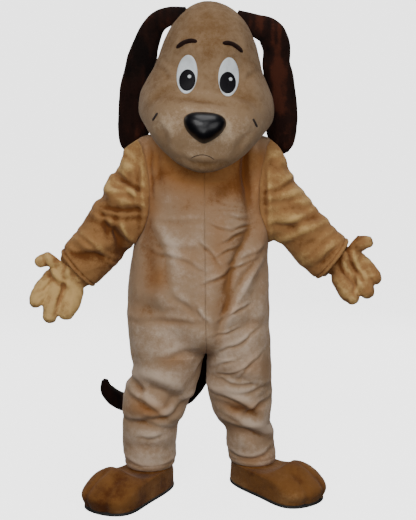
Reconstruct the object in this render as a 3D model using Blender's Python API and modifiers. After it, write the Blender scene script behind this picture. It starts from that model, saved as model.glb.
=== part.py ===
"""Dog costume of short plush, as it stands round the figure that wears it.

A hollow one-piece suit with sleeves and legs, a hollow padded head with ears, hollow
gloves, shoe covers on rubber soles, a stuffed tail and a back zip. Metres, +Z up, the
front faces -Y. Tables give heights above the floor; the origin is the middle of the neck
opening, where the costume hangs on its wearer.
"""

import math

import bmesh
import bpy
import numpy as np
from mathutils import Matrix, Vector
from mathutils.bvhtree import BVHTree

# Driving sizes
NECK_HEIGHT = 1.40  # neck opening above the floor, the height of the origin
PLUSH = 0.005  # knitted backing with its pile
SHELL = 0.011  # foam with plush over it, in the head
HALF_SEAM = 0.00018  # half of the gap between two pieces that are sewn together
SEAM_TURN = HALF_SEAM / 0.16  # the same as a turn round the suit
HEAD_GAP = 0.0005  # gap under what is sewn on the head
REST_GAP = 0.0005  # gap under a piece that lies on another
CROTCH_HEIGHT = 0.546
CROTCH_RISE = 0.105  # height over which the middle of the torso opens into two legs
THIGH_RISE = 0.260  # the same for the thighs beside it
HEM_HEIGHT = 0.098
SHOULDER_HEIGHT = 1.357
UNDERARM_HEIGHT = 0.965
ARMHOLE_SPREAD = math.radians(37)  # from the side seam to the armhole's front or back edge
HEAD_TILT = math.radians(3.5)  # the crown leans towards +X
HEAD_PIVOT = np.array((0.000, 0.01, 1.42 - NECK_HEIGHT))
FACE_MIDDLE = 0.008  # the face stands this far to +X of the neck

# Colours: red, green, blue, then roughness
COLOURS = {
    "tan_plush": (0.50, 0.33, 0.19, 0.95),
    "golden_plush": (0.52, 0.31, 0.14, 0.95),
    "brown_plush": (0.32, 0.16, 0.06, 0.95),
    "dark_plush": (0.045, 0.015, 0.010, 0.90),
    "white_felt": (0.80, 0.80, 0.80, 0.70),
    "gloss_black": (0.012, 0.012, 0.014, 0.22),
    "black_rubber": (0.02, 0.02, 0.02, 0.80),
    "brown_tape": (0.20, 0.11, 0.05, 0.80),
    "zip_metal": (0.55, 0.47, 0.33, 0.35),
}


def table(columns, *rows):
    """A short table: one array for each named column, one row for each section."""
    return {name: np.array(values, float) for name, values in zip(columns.split(), zip(*rows))}


# The wearer's right is at -X. Reaches are measured from the middle line.
TORSO = table(
    "height right_reach left_reach front back middle_x",
    (1.437, 0.104, 0.104, 0.076, 0.096, 0.000),
    (1.403, 0.105, 0.105, 0.077, 0.097, 0.000),
    (1.380, 0.150, 0.150, 0.084, 0.105, 0.001),
    (1.357, 0.238, 0.238, 0.092, 0.112, 0.003),
    (1.320, 0.248, 0.246, 0.106, 0.124, 0.003),
    (1.250, 0.252, 0.248, 0.126, 0.138, 0.003),
    (1.150, 0.253, 0.248, 0.150, 0.148, 0.004),
    (1.050, 0.254, 0.246, 0.166, 0.152, 0.005),
    (0.960, 0.269, 0.237, 0.176, 0.153, 0.006),
    (0.880, 0.283, 0.235, 0.183, 0.155, 0.007),
    (0.780, 0.294, 0.236, 0.187, 0.160, 0.008),
    (0.680, 0.305, 0.241, 0.186, 0.166, 0.009),
    (0.610, 0.307, 0.243, 0.180, 0.168, 0.010),
    (0.546, 0.297, 0.243, 0.170, 0.165, 0.010),
)
LEGS = {
    "right": table(
        "height inner_x outer_x middle_y half_depth",
        (0.546, 0.0097, -0.287, 0.000, 0.150),
        (0.514, 0.005, -0.276, 0.000, 0.138),
        (0.483, -0.005, -0.267, 0.001, 0.130),
        (0.451, -0.014, -0.276, 0.002, 0.126),
        (0.420, -0.025, -0.298, 0.003, 0.126),
        (0.380, -0.039, -0.308, 0.006, 0.125),
        (0.326, -0.066, -0.311, 0.011, 0.120),
        (0.263, -0.096, -0.314, 0.016, 0.112),
        (0.199, -0.105, -0.315, 0.020, 0.106),
        (0.135, -0.107, -0.310, 0.023, 0.101),
        (0.098, -0.113, -0.305, 0.024, 0.096),
    ),
    "left": table(
        "height inner_x outer_x middle_y half_depth",
        (0.546, 0.0103, 0.252, 0.000, 0.150),
        (0.483, 0.011, 0.260, 0.008, 0.132),
        (0.420, 0.012, 0.265, 0.018, 0.126),
        (0.357, 0.022, 0.266, 0.030, 0.121),
        (0.294, 0.040, 0.258, 0.043, 0.113),
        (0.263, 0.057, 0.259, 0.049, 0.109),
        (0.231, 0.083, 0.270, 0.055, 0.105),
        (0.167, 0.090, 0.281, 0.066, 0.100),
        (0.120, 0.096, 0.286, 0.073, 0.096),
        (0.098, 0.100, 0.286, 0.075, 0.094),
    ),
}
# A sleeve's sections stand between a point on its upper edge and one on its lower edge.
SLEEVES = {
    "right": table(
        "along top_x top_height under_x under_height middle_y half_depth",
        (0.00, -0.238, 1.357, -0.262, 0.965, 0.010, 0.085),
        (0.12, -0.290, 1.318, -0.268, 0.955, 0.008, 0.098),
        (0.24, -0.314, 1.252, -0.277, 0.944, 0.005, 0.100),
        (0.34, -0.354, 1.214, -0.288, 0.930, 0.000, 0.098),
        (0.44, -0.375, 1.150, -0.300, 0.914, -0.005, 0.095),
        (0.54, -0.410, 1.111, -0.316, 0.893, -0.012, 0.092),
        (0.64, -0.438, 1.060, -0.336, 0.872, -0.022, 0.088),
        (0.76, -0.475, 1.001, -0.364, 0.848, -0.035, 0.083),
        (0.88, -0.510, 0.969, -0.388, 0.824, -0.047, 0.077),
        (1.00, -0.529, 0.934, -0.409, 0.804, -0.056, 0.072),
    ),
    "left": table(
        "along top_x top_height under_x under_height middle_y half_depth",
        (0.00, 0.238, 1.357, 0.238, 0.965, 0.010, 0.085),
        (0.12, 0.282, 1.316, 0.256, 0.972, 0.008, 0.098),
        (0.24, 0.311, 1.250, 0.270, 0.970, 0.005, 0.100),
        (0.34, 0.340, 1.198, 0.284, 0.962, 0.000, 0.098),
        (0.44, 0.372, 1.154, 0.303, 0.947, -0.005, 0.095),
        (0.54, 0.404, 1.110, 0.325, 0.925, -0.012, 0.092),
        (0.64, 0.443, 1.070, 0.349, 0.898, -0.022, 0.088),
        (0.76, 0.480, 1.034, 0.376, 0.870, -0.035, 0.083),
        (0.88, 0.512, 1.002, 0.401, 0.847, -0.047, 0.077),
        (1.00, 0.538, 0.978, 0.426, 0.833, -0.056, 0.072),
    ),
}
# The head's sections, each through a front, a side and a back point, before it tilts.
HEAD = table(
    "middle_x front_y front_height side_x side_y side_height back_y back_height",
    (0.000, -0.0790, 1.420, 0.1075, 0.000, 1.420, 0.0995, 1.420),
    (0.002, -0.124, 1.360, 0.152, 0.004, 1.411, 0.142, 1.398),
    (0.006, -0.185, 1.262, 0.202, 0.000, 1.405, 0.178, 1.394),
    (0.008, -0.234, 1.226, 0.232, -0.010, 1.412, 0.198, 1.420),
    (0.008, -0.268, 1.248, 0.246, -0.014, 1.430, 0.209, 1.462),
    (0.008, -0.290, 1.294, 0.250, -0.012, 1.466, 0.215, 1.506),
    (0.008, -0.299, 1.350, 0.242, -0.008, 1.511, 0.218, 1.550),
    (0.008, -0.288, 1.408, 0.223, -0.003, 1.556, 0.216, 1.592),
    (0.008, -0.256, 1.456, 0.201, 0.000, 1.600, 0.210, 1.630),
    (0.008, -0.222, 1.503, 0.186, 0.000, 1.645, 0.199, 1.665),
    (0.008, -0.206, 1.560, 0.173, 0.000, 1.690, 0.184, 1.702),
    (0.008, -0.197, 1.625, 0.154, 0.000, 1.735, 0.163, 1.740),
    (0.007, -0.180, 1.690, 0.131, 0.000, 1.774, 0.137, 1.775),
    (0.005, -0.150, 1.750, 0.104, 0.000, 1.805, 0.107, 1.802),
    (0.003, -0.108, 1.800, 0.071, 0.000, 1.829, 0.074, 1.827),
    (0.001, -0.060, 1.834, 0.036, -0.002, 1.844, 0.038, 1.842),
    (0.000, -0.010, 1.850, 0.000, -0.010, 1.850, -0.010, 1.850),
)
# Soft forms pushed into or out of the head: where, how wide, how far.
HEAD_FORMS = table(
    "x y height wide deep high push_y push_height",
    (0.135, -0.205, 1.385, 0.085, 0.090, 0.080, -0.018, -0.004),
    (0.000, -0.270, 1.300, 0.045, 0.070, 0.045, 0.004, 0.003),
    (0.085, -0.205, 1.490, 0.110, 0.080, 0.022, 0.013, 0.000),
    (0.075, -0.200, 1.570, 0.055, 0.070, 0.060, 0.004, 0.000),
    (0.070, -0.180, 1.655, 0.060, 0.080, 0.030, -0.006, 0.000),
)
EARS = {
    "right": table(
        "x height y half_width half_thick",
        (-0.062, 1.797, -0.045, 0.024, 0.015),
        (-0.126, 1.791, -0.030, 0.035, 0.019),
        (-0.172, 1.769, -0.008, 0.040, 0.021),
        (-0.204, 1.717, 0.012, 0.047, 0.022),
        (-0.228, 1.645, 0.024, 0.057, 0.022),
        (-0.249, 1.545, 0.040, 0.063, 0.022),
        (-0.261, 1.450, 0.055, 0.064, 0.022),
        (-0.267, 1.375, 0.066, 0.059, 0.021),
        (-0.272, 1.325, 0.072, 0.044, 0.018),
        (-0.276, 1.300, 0.075, 0.020, 0.010),
    ),
    "left": table(
        "x height y half_width half_thick",
        (0.120, 1.794, -0.025, 0.022, 0.015),
        (0.190, 1.762, -0.014, 0.042, 0.019),
        (0.242, 1.738, 0.000, 0.052, 0.021),
        (0.268, 1.688, 0.014, 0.054, 0.022),
        (0.270, 1.630, 0.026, 0.052, 0.022),
        (0.284, 1.560, 0.040, 0.058, 0.022),
        (0.293, 1.466, 0.055, 0.063, 0.022),
        (0.296, 1.385, 0.066, 0.059, 0.021),
        (0.302, 1.332, 0.072, 0.041, 0.018),
        (0.306, 1.304, 0.075, 0.018, 0.010),
    ),
}
TAIL = table(
    "x y height radius",
    (0.008, 0.140, 0.618, 0.043),
    (0.008, 0.190, 0.606, 0.044),
    (0.006, 0.232, 0.566, 0.046),
    (0.000, 0.256, 0.470, 0.046),
    (-0.022, 0.262, 0.385, 0.045),
    (-0.070, 0.266, 0.318, 0.044),
    (-0.150, 0.266, 0.276, 0.043),
    (-0.250, 0.264, 0.264, 0.043),
    (-0.345, 0.258, 0.281, 0.039),
    (-0.400, 0.254, 0.327, 0.030),
    (-0.413, 0.252, 0.371, 0.014),
)
# Fingers and thumb of each glove as bent tubes, and the palm between them.
GLOVES = {
    "right": {
        "palm": table(
            "x y height radius",
            (-0.456, -0.054, 0.874, 0.052),
            (-0.492, -0.058, 0.866, 0.052),
            (-0.522, -0.062, 0.850, 0.049),
            (-0.534, -0.066, 0.832, 0.045),
        ),
        "heel": table(
            "x y height radius",
            (-0.447, -0.054, 0.858, 0.054),
            (-0.476, -0.060, 0.836, 0.048),
            (-0.486, -0.066, 0.818, 0.042),
        ),
        "thumb": table(
            "x y height radius",
            (-0.500, -0.056, 0.892, 0.040),
            (-0.540, -0.070, 0.903, 0.033),
            (-0.574, -0.084, 0.908, 0.028),
            (-0.596, -0.088, 0.902, 0.023),
        ),
        "first": table(
            "x y height radius",
            (-0.548, -0.064, 0.852, 0.032),
            (-0.582, -0.084, 0.812, 0.034),
            (-0.605, -0.110, 0.774, 0.031),
            (-0.609, -0.122, 0.760, 0.026),
        ),
        "second": table(
            "x y height radius",
            (-0.528, -0.064, 0.838, 0.033),
            (-0.543, -0.088, 0.788, 0.037),
            (-0.553, -0.114, 0.736, 0.034),
            (-0.559, -0.128, 0.706, 0.027),
        ),
        "third": table(
            "x y height radius",
            (-0.487, -0.062, 0.830, 0.034),
            (-0.476, -0.082, 0.784, 0.035),
            (-0.491, -0.106, 0.738, 0.034),
            (-0.501, -0.118, 0.715, 0.027),
        ),
    },
    "left": {
        "palm": table(
            "x y height radius",
            (0.484, -0.054, 0.914, 0.052),
            (0.516, -0.058, 0.916, 0.052),
            (0.542, -0.062, 0.908, 0.049),
            (0.556, -0.066, 0.894, 0.045),
        ),
        "heel": table(
            "x y height radius",
            (0.478, -0.054, 0.902, 0.052),
            (0.500, -0.060, 0.882, 0.047),
            (0.508, -0.066, 0.866, 0.040),
        ),
        "thumb": table(
            "x y height radius",
            (0.521, -0.056, 0.948, 0.040),
            (0.557, -0.070, 0.960, 0.033),
            (0.584, -0.084, 0.971, 0.028),
            (0.600, -0.088, 0.973, 0.023),
        ),
        "first": table(
            "x y height radius",
            (0.564, -0.064, 0.910, 0.032),
            (0.594, -0.082, 0.884, 0.032),
            (0.616, -0.106, 0.854, 0.030),
            (0.622, -0.116, 0.844, 0.026),
        ),
        "second": table(
            "x y height radius",
            (0.554, -0.064, 0.898, 0.033),
            (0.575, -0.088, 0.852, 0.036),
            (0.589, -0.114, 0.812, 0.034),
            (0.595, -0.126, 0.796, 0.028),
        ),
        "third": table(
            "x y height radius",
            (0.508, -0.062, 0.882, 0.034),
            (0.509, -0.084, 0.838, 0.037),
            (0.531, -0.108, 0.790, 0.035),
            (0.542, -0.120, 0.775, 0.028),
        ),
    },
}
# Folds drawn as seen from the front: a soft trough from one point to another, with a bow
# to one side, and a ridge beside it. Plus widths and depths in metres.
FOLD_COLUMNS = "x0 height0 x1 height1 bow width depth ridge"
FRONT_FOLDS = table(
    FOLD_COLUMNS,
    (0.172, 1.335, 0.168, 1.090, -0.006, 0.026, 0.026, 0.010),
    (-0.190, 1.345, -0.172, 1.220, 0.006, 0.024, 0.016, 0.008),
    (0.205, 1.080, 0.105, 0.740, -0.022, 0.032, 0.017, 0.011),
    (0.225, 0.900, 0.150, 0.690, -0.015, 0.030, 0.013, 0.008),
    (0.090, 0.870, 0.016, 0.590, 0.012, 0.034, 0.014, 0.012),
    (-0.226, 1.040, -0.205, 0.800, 0.012, 0.040, 0.013, 0.006),
    (-0.250, 0.735, -0.120, 0.700, 0.010, 0.034, 0.010, 0.006),
    (-0.180, 1.105, 0.020, 1.130, -0.016, 0.040, 0.008, 0.005),
    (0.070, 0.650, 0.200, 0.665, 0.012, 0.028, 0.009, 0.006),
    (-0.300, 0.425, -0.070, 0.350, 0.040, 0.028, 0.024, 0.016),
    (-0.050, 0.440, -0.190, 0.320, 0.020, 0.032, 0.014, 0.009),
    (-0.300, 0.290, -0.130, 0.265, 0.018, 0.026, 0.013, 0.009),
    (-0.290, 0.190, -0.150, 0.185, 0.010, 0.024, 0.007, 0.005),
    (0.070, 0.260, 0.270, 0.165, 0.020, 0.026, 0.019, 0.012),
    (0.030, 0.370, 0.210, 0.265, 0.020, 0.026, 0.013, 0.010),
    (0.255, 0.400, 0.130, 0.310, 0.015, 0.028, 0.012, 0.008),
    (0.040, 0.475, 0.200, 0.430, 0.012, 0.026, 0.009, 0.006),
)
BACK_FOLDS = table(
    FOLD_COLUMNS,
    (-0.170, 1.320, -0.180, 1.130, 0.008, 0.034, 0.014, 0.008),
    (0.170, 1.320, 0.176, 1.120, -0.008, 0.034, 0.014, 0.008),
    (-0.200, 0.990, -0.030, 0.900, 0.020, 0.040, 0.011, 0.008),
    (0.200, 0.960, 0.040, 0.860, -0.020, 0.040, 0.011, 0.008),
    (-0.240, 0.640, -0.060, 0.570, 0.030, 0.036, 0.015, 0.011),
    (0.220, 0.640, 0.060, 0.565, -0.030, 0.036, 0.015, 0.011),
    (-0.290, 0.430, -0.080, 0.360, 0.030, 0.032, 0.019, 0.012),
    (-0.290, 0.300, -0.130, 0.250, 0.020, 0.030, 0.014, 0.009),
    (0.250, 0.430, 0.040, 0.350, -0.030, 0.032, 0.019, 0.012),
    (0.255, 0.290, 0.080, 0.240, -0.020, 0.030, 0.014, 0.009),
)
SLEEVE_FOLDS = {
    "right": table(
        FOLD_COLUMNS,
        (-0.305, 1.215, -0.222, 1.170, 0.008, 0.026, 0.018, 0.011),
        (-0.372, 1.130, -0.240, 1.095, -0.014, 0.022, 0.017, 0.013),
        (-0.345, 1.045, -0.300, 0.945, 0.006, 0.024, 0.016, 0.011),
        (-0.480, 0.955, -0.350, 0.930, -0.018, 0.024, 0.015, 0.010),
        (-0.255, 1.330, -0.225, 1.260, 0.004, 0.020, 0.009, 0.007),
    ),
    "left": table(
        FOLD_COLUMNS,
        (0.235, 1.262, 0.300, 1.230, -0.004, 0.020, 0.013, 0.008),
        (0.240, 1.190, 0.330, 1.180, -0.004, 0.022, 0.012, 0.009),
        (0.275, 1.130, 0.390, 1.075, 0.010, 0.024, 0.012, 0.008),
        (0.275, 1.030, 0.350, 1.000, 0.010, 0.022, 0.010, 0.007),
        (0.350, 0.960, 0.460, 1.010, -0.010, 0.024, 0.012, 0.008),
        (0.400, 0.880, 0.480, 0.955, -0.006, 0.020, 0.010, 0.008),
    ),
}

# Face, in the head's own frame before it tilts, seen from the front
EYE = {"x": 0.072, "height": 1.558, "half_width": 0.036, "half_height": 0.068, "thick": 0.004}
PUPIL = {"inward": 0.003, "drop": 0.021, "half_width": 0.0285, "half_height": 0.038, "thick": 0.0035}
BROW = {"x": 0.080, "height": 1.662, "half_length": 0.036, "arch": 0.012, "half_width": 0.0080}
NOSE = {"height": 1.374, "half_width": 0.084, "half_height": 0.053, "thick": 0.040}

# Shoe covers: the hem's middle, the way the toe points, and the sizes of the form
SHOES = {
    "right": {"x": -0.209, "y": 0.024, "toe_out": math.radians(32)},
    "left": {"x": 0.200, "y": 0.075, "toe_out": math.radians(40)},
}
SHOE = {"middle": 0.100, "half_length": 0.206, "waist": 0.089, "toe_spread": 0.100, "heel_spread": 0.034, "bend": 0.018}
SHOE_TOP = 0.090  # where the upper meets the ankle, just under the hem
SHOE_COLLAR = 0.122
ANKLE_INSET = PLUSH + 0.0042  # the collar stands this far inside the leg's outer face
TOE_RISE = 0.056
SOLE_THICK = 0.010

WRIST_AHEAD = 0.016  # a glove's cuff reaches this far out of the sleeve

# Zip down the middle of the back
ZIP = {"top": 1.392, "bottom": 0.800, "half_width": 0.0075, "thick": 0.0022}
ZIP_SLIDER = {"height": 1.372, "half_width": 0.0055, "half_length": 0.008, "thick": 0.0050}
ZIP_PULL = {"half_width": 0.0045, "length": 0.030, "thick": 0.0016, "gap": 0.0005}

# Facets
ARMHOLE_ROWS = 11
WAIST_ROWS = 7
RISE_ROWS = 6
LEG_ROWS = 14
PANEL_COLUMNS = {"front": 9, "back": 7}
SLEEVE_RINGS = 15
HEAD_ROWS = 18
FACE_COLUMNS = 15
NAPE_COLUMNS = 9
SHOE_COLUMNS = 20

SIDES = {"right": -1, "left": 1}
HALF_TURN = math.pi


def clear_scene():
    for item in list(bpy.data.objects):
        bpy.data.objects.remove(item, do_unlink=True)


def make_collection(name):
    group = bpy.data.collections.new(name)
    bpy.context.scene.collection.children.link(group)
    return group


def make_material(name):
    material = bpy.data.materials.new(name)
    material.use_nodes = True
    shader = material.node_tree.nodes["Principled BSDF"]
    red, green, blue, roughness = COLOURS[name]
    shader.inputs["Base Color"].default_value = (red, green, blue, 1.0)
    shader.inputs["Roughness"].default_value = roughness
    shader.inputs["Metallic"].default_value = 1.0 if name == "zip_metal" else 0.0
    return material


def curve_through(knots, values, at):
    """Smooth curve through the table's points, its slope at each the mean of the steps beside it."""
    order = np.argsort(knots)
    knots, values = knots[order], values[order]
    steps = np.diff(values) / np.diff(knots)
    slopes = np.concatenate((steps[:1], 0.5 * (steps[1:] + steps[:-1]), steps[-1:]))
    at = np.clip(at, knots[0], knots[-1])
    left = np.clip(np.searchsorted(knots, at, side="right") - 1, 0, len(knots) - 2)
    span = knots[left + 1] - knots[left]
    part = (at - knots[left]) / span
    rest = 1 - part
    return (
        values[left] * (1 + 2 * part) * rest**2
        + values[left + 1] * (1 + 2 * rest) * part**2
        + slopes[left] * span * part * rest**2
        - slopes[left + 1] * span * rest * part**2
    )


def fold_depth(folds, x, height):
    """How far the folds push each point out (+) or in (-), read in the front view."""
    moved = np.zeros(np.broadcast(x, height).shape)
    for x0, height0, x1, height1, bow, width, depth, ridge in zip(*folds.values()):
        along = np.array((x1 - x0, height1 - height0))
        length = float(np.hypot(*along))
        along = along / length
        forward = (x - x0) * along[0] + (height - height0) * along[1]
        part = np.clip(forward / length, 0, 1)
        across = (height - height0) * along[0] - (x - x0) * along[1] - 4 * bow * part * (1 - part)
        beyond = (forward - part * length) / (0.35 * length)
        fade = np.exp(-(beyond**2)) * (0.35 + 0.65 * np.sin(HALF_TURN * (0.12 + 0.76 * part)))
        trough = np.exp(-((across / width) ** 2))
        crest = np.exp(-(((across - 1.7 * width) / (1.2 * width)) ** 2))
        moved += fade * (ridge * crest - depth * trough)
    return moved


def suit_form(side, turn, height):
    """A point of the suit: turn runs from the middle front, 0, past the side seam to the middle back.

    Above the crotch a section is half an oval. Below it the same turn runs once round the
    leg, from the inseam past the front, the side and the back. In between the two mix.
    """
    sign = SIDES[side]
    turn, height = np.broadcast_arrays(np.asarray(turn, float), np.asarray(height, float))
    torso = {name: curve_through(TORSO["height"], TORSO[name], height) for name in TORSO}
    reach = torso[side + "_reach"]
    depth = np.where(np.cos(turn) > 0, torso["front"], torso["back"])
    torso_x = torso["middle_x"] + sign * reach * np.sin(turn)
    torso_y = -depth * np.cos(turn)
    leg = {name: curve_through(LEGS[side]["height"], LEGS[side][name], height) for name in LEGS[side]}
    half = 0.5 * (leg["outer_x"] - leg["inner_x"])
    leg_x = 0.5 * (leg["outer_x"] + leg["inner_x"]) - half * np.cos(2 * turn)
    leg_y = leg["middle_y"] - leg["half_depth"] * np.sin(2 * turn)
    fallen = np.clip((CROTCH_HEIGHT + CROTCH_RISE - height) / CROTCH_RISE, 0, 1)
    eased = np.clip((CROTCH_HEIGHT + THIGH_RISE - height) / THIGH_RISE, 0, 1)
    near_middle = np.abs(np.cos(turn)) ** 3
    share = near_middle * (1 - np.sqrt(1 - fallen**2)) + (1 - near_middle) * eased**2 * (3 - 2 * eased)
    return np.stack(
        (
            torso_x + (leg_x - torso_x) * share,
            torso_y + (leg_y - torso_y) * share,
            height - NECK_HEIGHT,
        ),
        axis=-1,
    )


def suit_surface(side, turn, height):
    """Outer points of the suit with its folds, and the outward directions there."""
    turn, height = np.broadcast_arrays(np.asarray(turn, float), np.asarray(height, float))
    step_turn, step_height = 0.02, 0.004
    plain = suit_form(side, turn, height)
    round_it = suit_form(side, turn + step_turn, height) - suit_form(side, turn - step_turn, height)
    up_it = suit_form(side, turn, height + step_height) - suit_form(side, turn, height - step_height)
    out = SIDES[side] * np.cross(round_it, up_it)
    out /= np.linalg.norm(out, axis=-1, keepdims=True)
    facing_front = np.clip(0.5 - out[..., 1] * 1.6, 0, 1)
    seen = plain[..., 0]
    moved = facing_front * fold_depth(FRONT_FOLDS, seen, height)
    moved += (1 - facing_front) * fold_depth(BACK_FOLDS, seen, height)
    calm = np.clip((SHOULDER_HEIGHT - height) / 0.05, 0, 1) * np.clip((height - HEM_HEIGHT) / 0.04, 0, 1)
    near_seam = np.minimum(np.abs(np.sin(turn)), 1) ** 0.5
    low = np.clip((CROTCH_HEIGHT + 0.05 - height) / 0.08, 0, 1)
    moved *= calm * (near_seam * (1 - low) + np.abs(np.sin(2 * turn)) ** 0.5 * low)
    return plain + out * moved[..., None], out


def armhole_turns(rows, scale=1.0):
    """Heights down the armhole's oval, and how far its edge stands from the side seam there."""
    angle = np.linspace(0, HALF_TURN, rows)
    middle = 0.5 * (SHOULDER_HEIGHT + UNDERARM_HEIGHT)
    half = 0.5 * (SHOULDER_HEIGHT - UNDERARM_HEIGHT)
    return middle + scale * half * np.cos(angle), scale * ARMHOLE_SPREAD * np.sin(angle)


def suit_rows():
    """Heights of the body panels' rows, from the neck edge to the hem, and each row's armhole spread."""
    neck = np.array((1.437, 1.403, 1.394, 1.382, 1.370))
    arm_heights, arm_spreads = armhole_turns(ARMHOLE_ROWS)
    waist = np.linspace(UNDERARM_HEIGHT, CROTCH_HEIGHT + CROTCH_RISE, WAIST_ROWS + 1)[1:]
    fallen = np.sin(np.linspace(0, HALF_TURN / 2, RISE_ROWS + 1))[1:]
    rise = CROTCH_HEIGHT + CROTCH_RISE * (1 - fallen)
    leg = np.linspace(CROTCH_HEIGHT, HEM_HEIGHT, LEG_ROWS + 1)[1:]
    heights = np.concatenate((neck, arm_heights, waist, rise, leg))
    spreads = np.zeros(len(heights))
    spreads[len(neck) : len(neck) + len(arm_heights)] = arm_spreads
    return heights, spreads


def normals_of(points, wrap=False):
    """Directions square to a grid of points, from the differences between neighbours."""
    if wrap:
        round_it = np.roll(points, -1, axis=1) - np.roll(points, 1, axis=1)
    else:
        round_it = np.gradient(points, axis=1)
    along = np.gradient(points, axis=0)
    out = np.cross(round_it, along)
    return out / np.maximum(np.linalg.norm(out, axis=-1, keepdims=True), 1e-12)


def facets(grid, inside=False):
    """Two triangles for each cell of a grid of point numbers."""
    first = np.stack((grid[:-1, :-1], grid[:-1, 1:], grid[1:, 1:]), axis=-1).reshape(-1, 3)
    second = np.stack((grid[:-1, :-1], grid[1:, 1:], grid[1:, :-1]), axis=-1).reshape(-1, 3)
    both = np.concatenate((first, second))
    return both[:, ::-1] if inside else both


def wall_mesh(name, outer, inner, wrap=False, flip_from=None):
    """A cloth wall between an outer and an inner grid, closed round its edges.

    From the column flip_from on, the first edge's triangles are cut the other way, to
    match the piece that is sewn on there.
    """
    rows, columns = outer.shape[:2]
    points = np.concatenate((outer.reshape(-1, 3), inner.reshape(-1, 3)))
    index = np.arange(rows * columns).reshape(rows, columns)
    if wrap:
        index = np.concatenate((index, index[:, :1]), axis=1)
    behind = index + rows * columns
    faces = [facets(index), facets(behind, inside=True)]
    flip = index.shape[1] - 1 if flip_from is None else flip_from
    faces += [facets(np.stack((behind[0, : flip + 1], index[0, : flip + 1])))]
    faces += [facets(np.stack((index[0, flip:], behind[0, flip:])), inside=True)]
    faces += [facets(np.stack((index[-1], behind[-1])))]
    if not wrap:
        faces += [facets(np.stack((behind[:, 0], index[:, 0])), inside=True)]
        faces += [facets(np.stack((behind[:, -1], index[:, -1])))]
    mesh = bpy.data.meshes.new(name)
    mesh.from_pydata(points.tolist(), [], np.concatenate(faces).tolist())
    return tidy(mesh)


def tidy(mesh):
    """Welds points that coincide, drops what collapsed and turns the faces outwards."""
    work = bmesh.new()
    work.from_mesh(mesh)
    bmesh.ops.remove_doubles(work, verts=work.verts, dist=2e-6)
    bmesh.ops.dissolve_degenerate(work, dist=1e-6, edges=work.edges)
    bmesh.ops.delete(work, geom=[edge for edge in work.edges if edge.is_wire], context="EDGES")
    bmesh.ops.recalc_face_normals(work, faces=work.faces)
    if work.calc_volume(signed=True) < 0:
        bmesh.ops.reverse_faces(work, faces=work.faces)
    work.to_mesh(mesh)
    work.free()
    mesh.shade_smooth()
    mesh.set_sharp_from_angle(angle=math.radians(50))
    return mesh


def add_piece(mesh, material):
    piece = bpy.data.objects.new(mesh.name, mesh)
    PIECES.objects.link(piece)
    mesh.materials.append(MATERIALS[material])
    return piece


def body_panel(name, side, back):
    """One front or back of the suit, in one piece from shoulder to hem."""
    heights, spreads = suit_rows()
    if back:
        outer, out = back_grid(side)
    else:
        part = np.linspace(0, 1, PANEL_COLUMNS["front"])[None, :]
        edge = HALF_TURN / 2 - np.maximum(spreads, SEAM_TURN)[:, None]
        outer, out = suit_surface(side, SEAM_TURN + (edge - SEAM_TURN) * part, heights[:, None])
    return add_piece(wall_mesh(name, outer, outer - out * PLUSH), "tan_plush")


def armhole_ring(side, rows):
    """The sleeve's first section: down the armhole's front edge and up its back edge."""
    heights, spreads = armhole_turns(rows, scale=1 - 0.0025)
    front, front_out = suit_surface(side, HALF_TURN / 2 - spreads, heights)
    back, back_out = suit_surface(side, HALF_TURN / 2 + spreads, heights)
    return np.concatenate((front, back[-2:0:-1])), np.concatenate((front_out, back_out[-2:0:-1]))


def sleeve_rings(side, rings, rows):
    """Sections of a sleeve, from the armhole's oval to the cuff's ellipse."""
    sections = SLEEVES[side]
    along = np.linspace(0, 1, rings)
    value = {name: curve_through(sections["along"], sections[name], along)[:, None] for name in sections}
    angle = np.linspace(0, HALF_TURN, rows)
    angle = np.concatenate((angle, angle[-2:0:-1]))[None, :]
    towards = np.ones(2 * rows - 2)
    towards[:rows] = -1
    x = 0.5 * (value["top_x"] + value["under_x"])
    x = x + 0.5 * (value["top_x"] - value["under_x"]) * np.cos(angle)
    height = 0.5 * (value["top_height"] + value["under_height"])
    height = height + 0.5 * (value["top_height"] - value["under_height"]) * np.cos(angle)
    y = value["middle_y"] + towards * value["half_depth"] * np.sin(angle)
    rings_of_points = np.stack((x, y, height - NECK_HEIGHT), axis=-1)
    share = np.clip(along / 0.30, 0, 1)[:, None, None]
    share = share * share * (3 - 2 * share)
    opening, _ = armhole_ring(side, rows)
    first = rings_of_points[:1]
    return rings_of_points + (1 - share) * (opening[None] - first)


def sleeve_surface(side, rings, rows):
    """Outer points of a sleeve with its folds, and its outward directions."""
    plain = sleeve_rings(side, rings, rows)
    out = SIDES[side] * normals_of(plain, wrap=True)
    round_it = np.linspace(0, 2 * HALF_TURN, 2 * rows - 2, endpoint=False)[:, None]
    upper = np.clip(0.2 + 0.9 * np.cos(round_it), 0, 1)
    out[0] = upper * armhole_ring(side, rows)[1] + (1 - upper) * out[0]
    along = np.linspace(0, 1, rings)[:, None]
    facing_front = np.clip(0.5 - out[..., 1] * 1.6, 0, 1)
    moved = fold_depth(SLEEVE_FOLDS[side], plain[..., 0], plain[..., 2] + NECK_HEIGHT)
    moved = moved * (0.35 + 0.65 * facing_front)
    moved = moved * np.clip(along / 0.15, 0, 1) * np.clip((1 - along) / 0.08, 0, 1)
    return plain + out * moved[..., None], out


def sleeve(name, side):
    outer, out = sleeve_surface(side, SLEEVE_RINGS, ARMHOLE_ROWS)
    mesh = wall_mesh(name, outer, outer - out * PLUSH, wrap=True, flip_from=ARMHOLE_ROWS - 1)
    return add_piece(mesh, "golden_plush")


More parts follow.
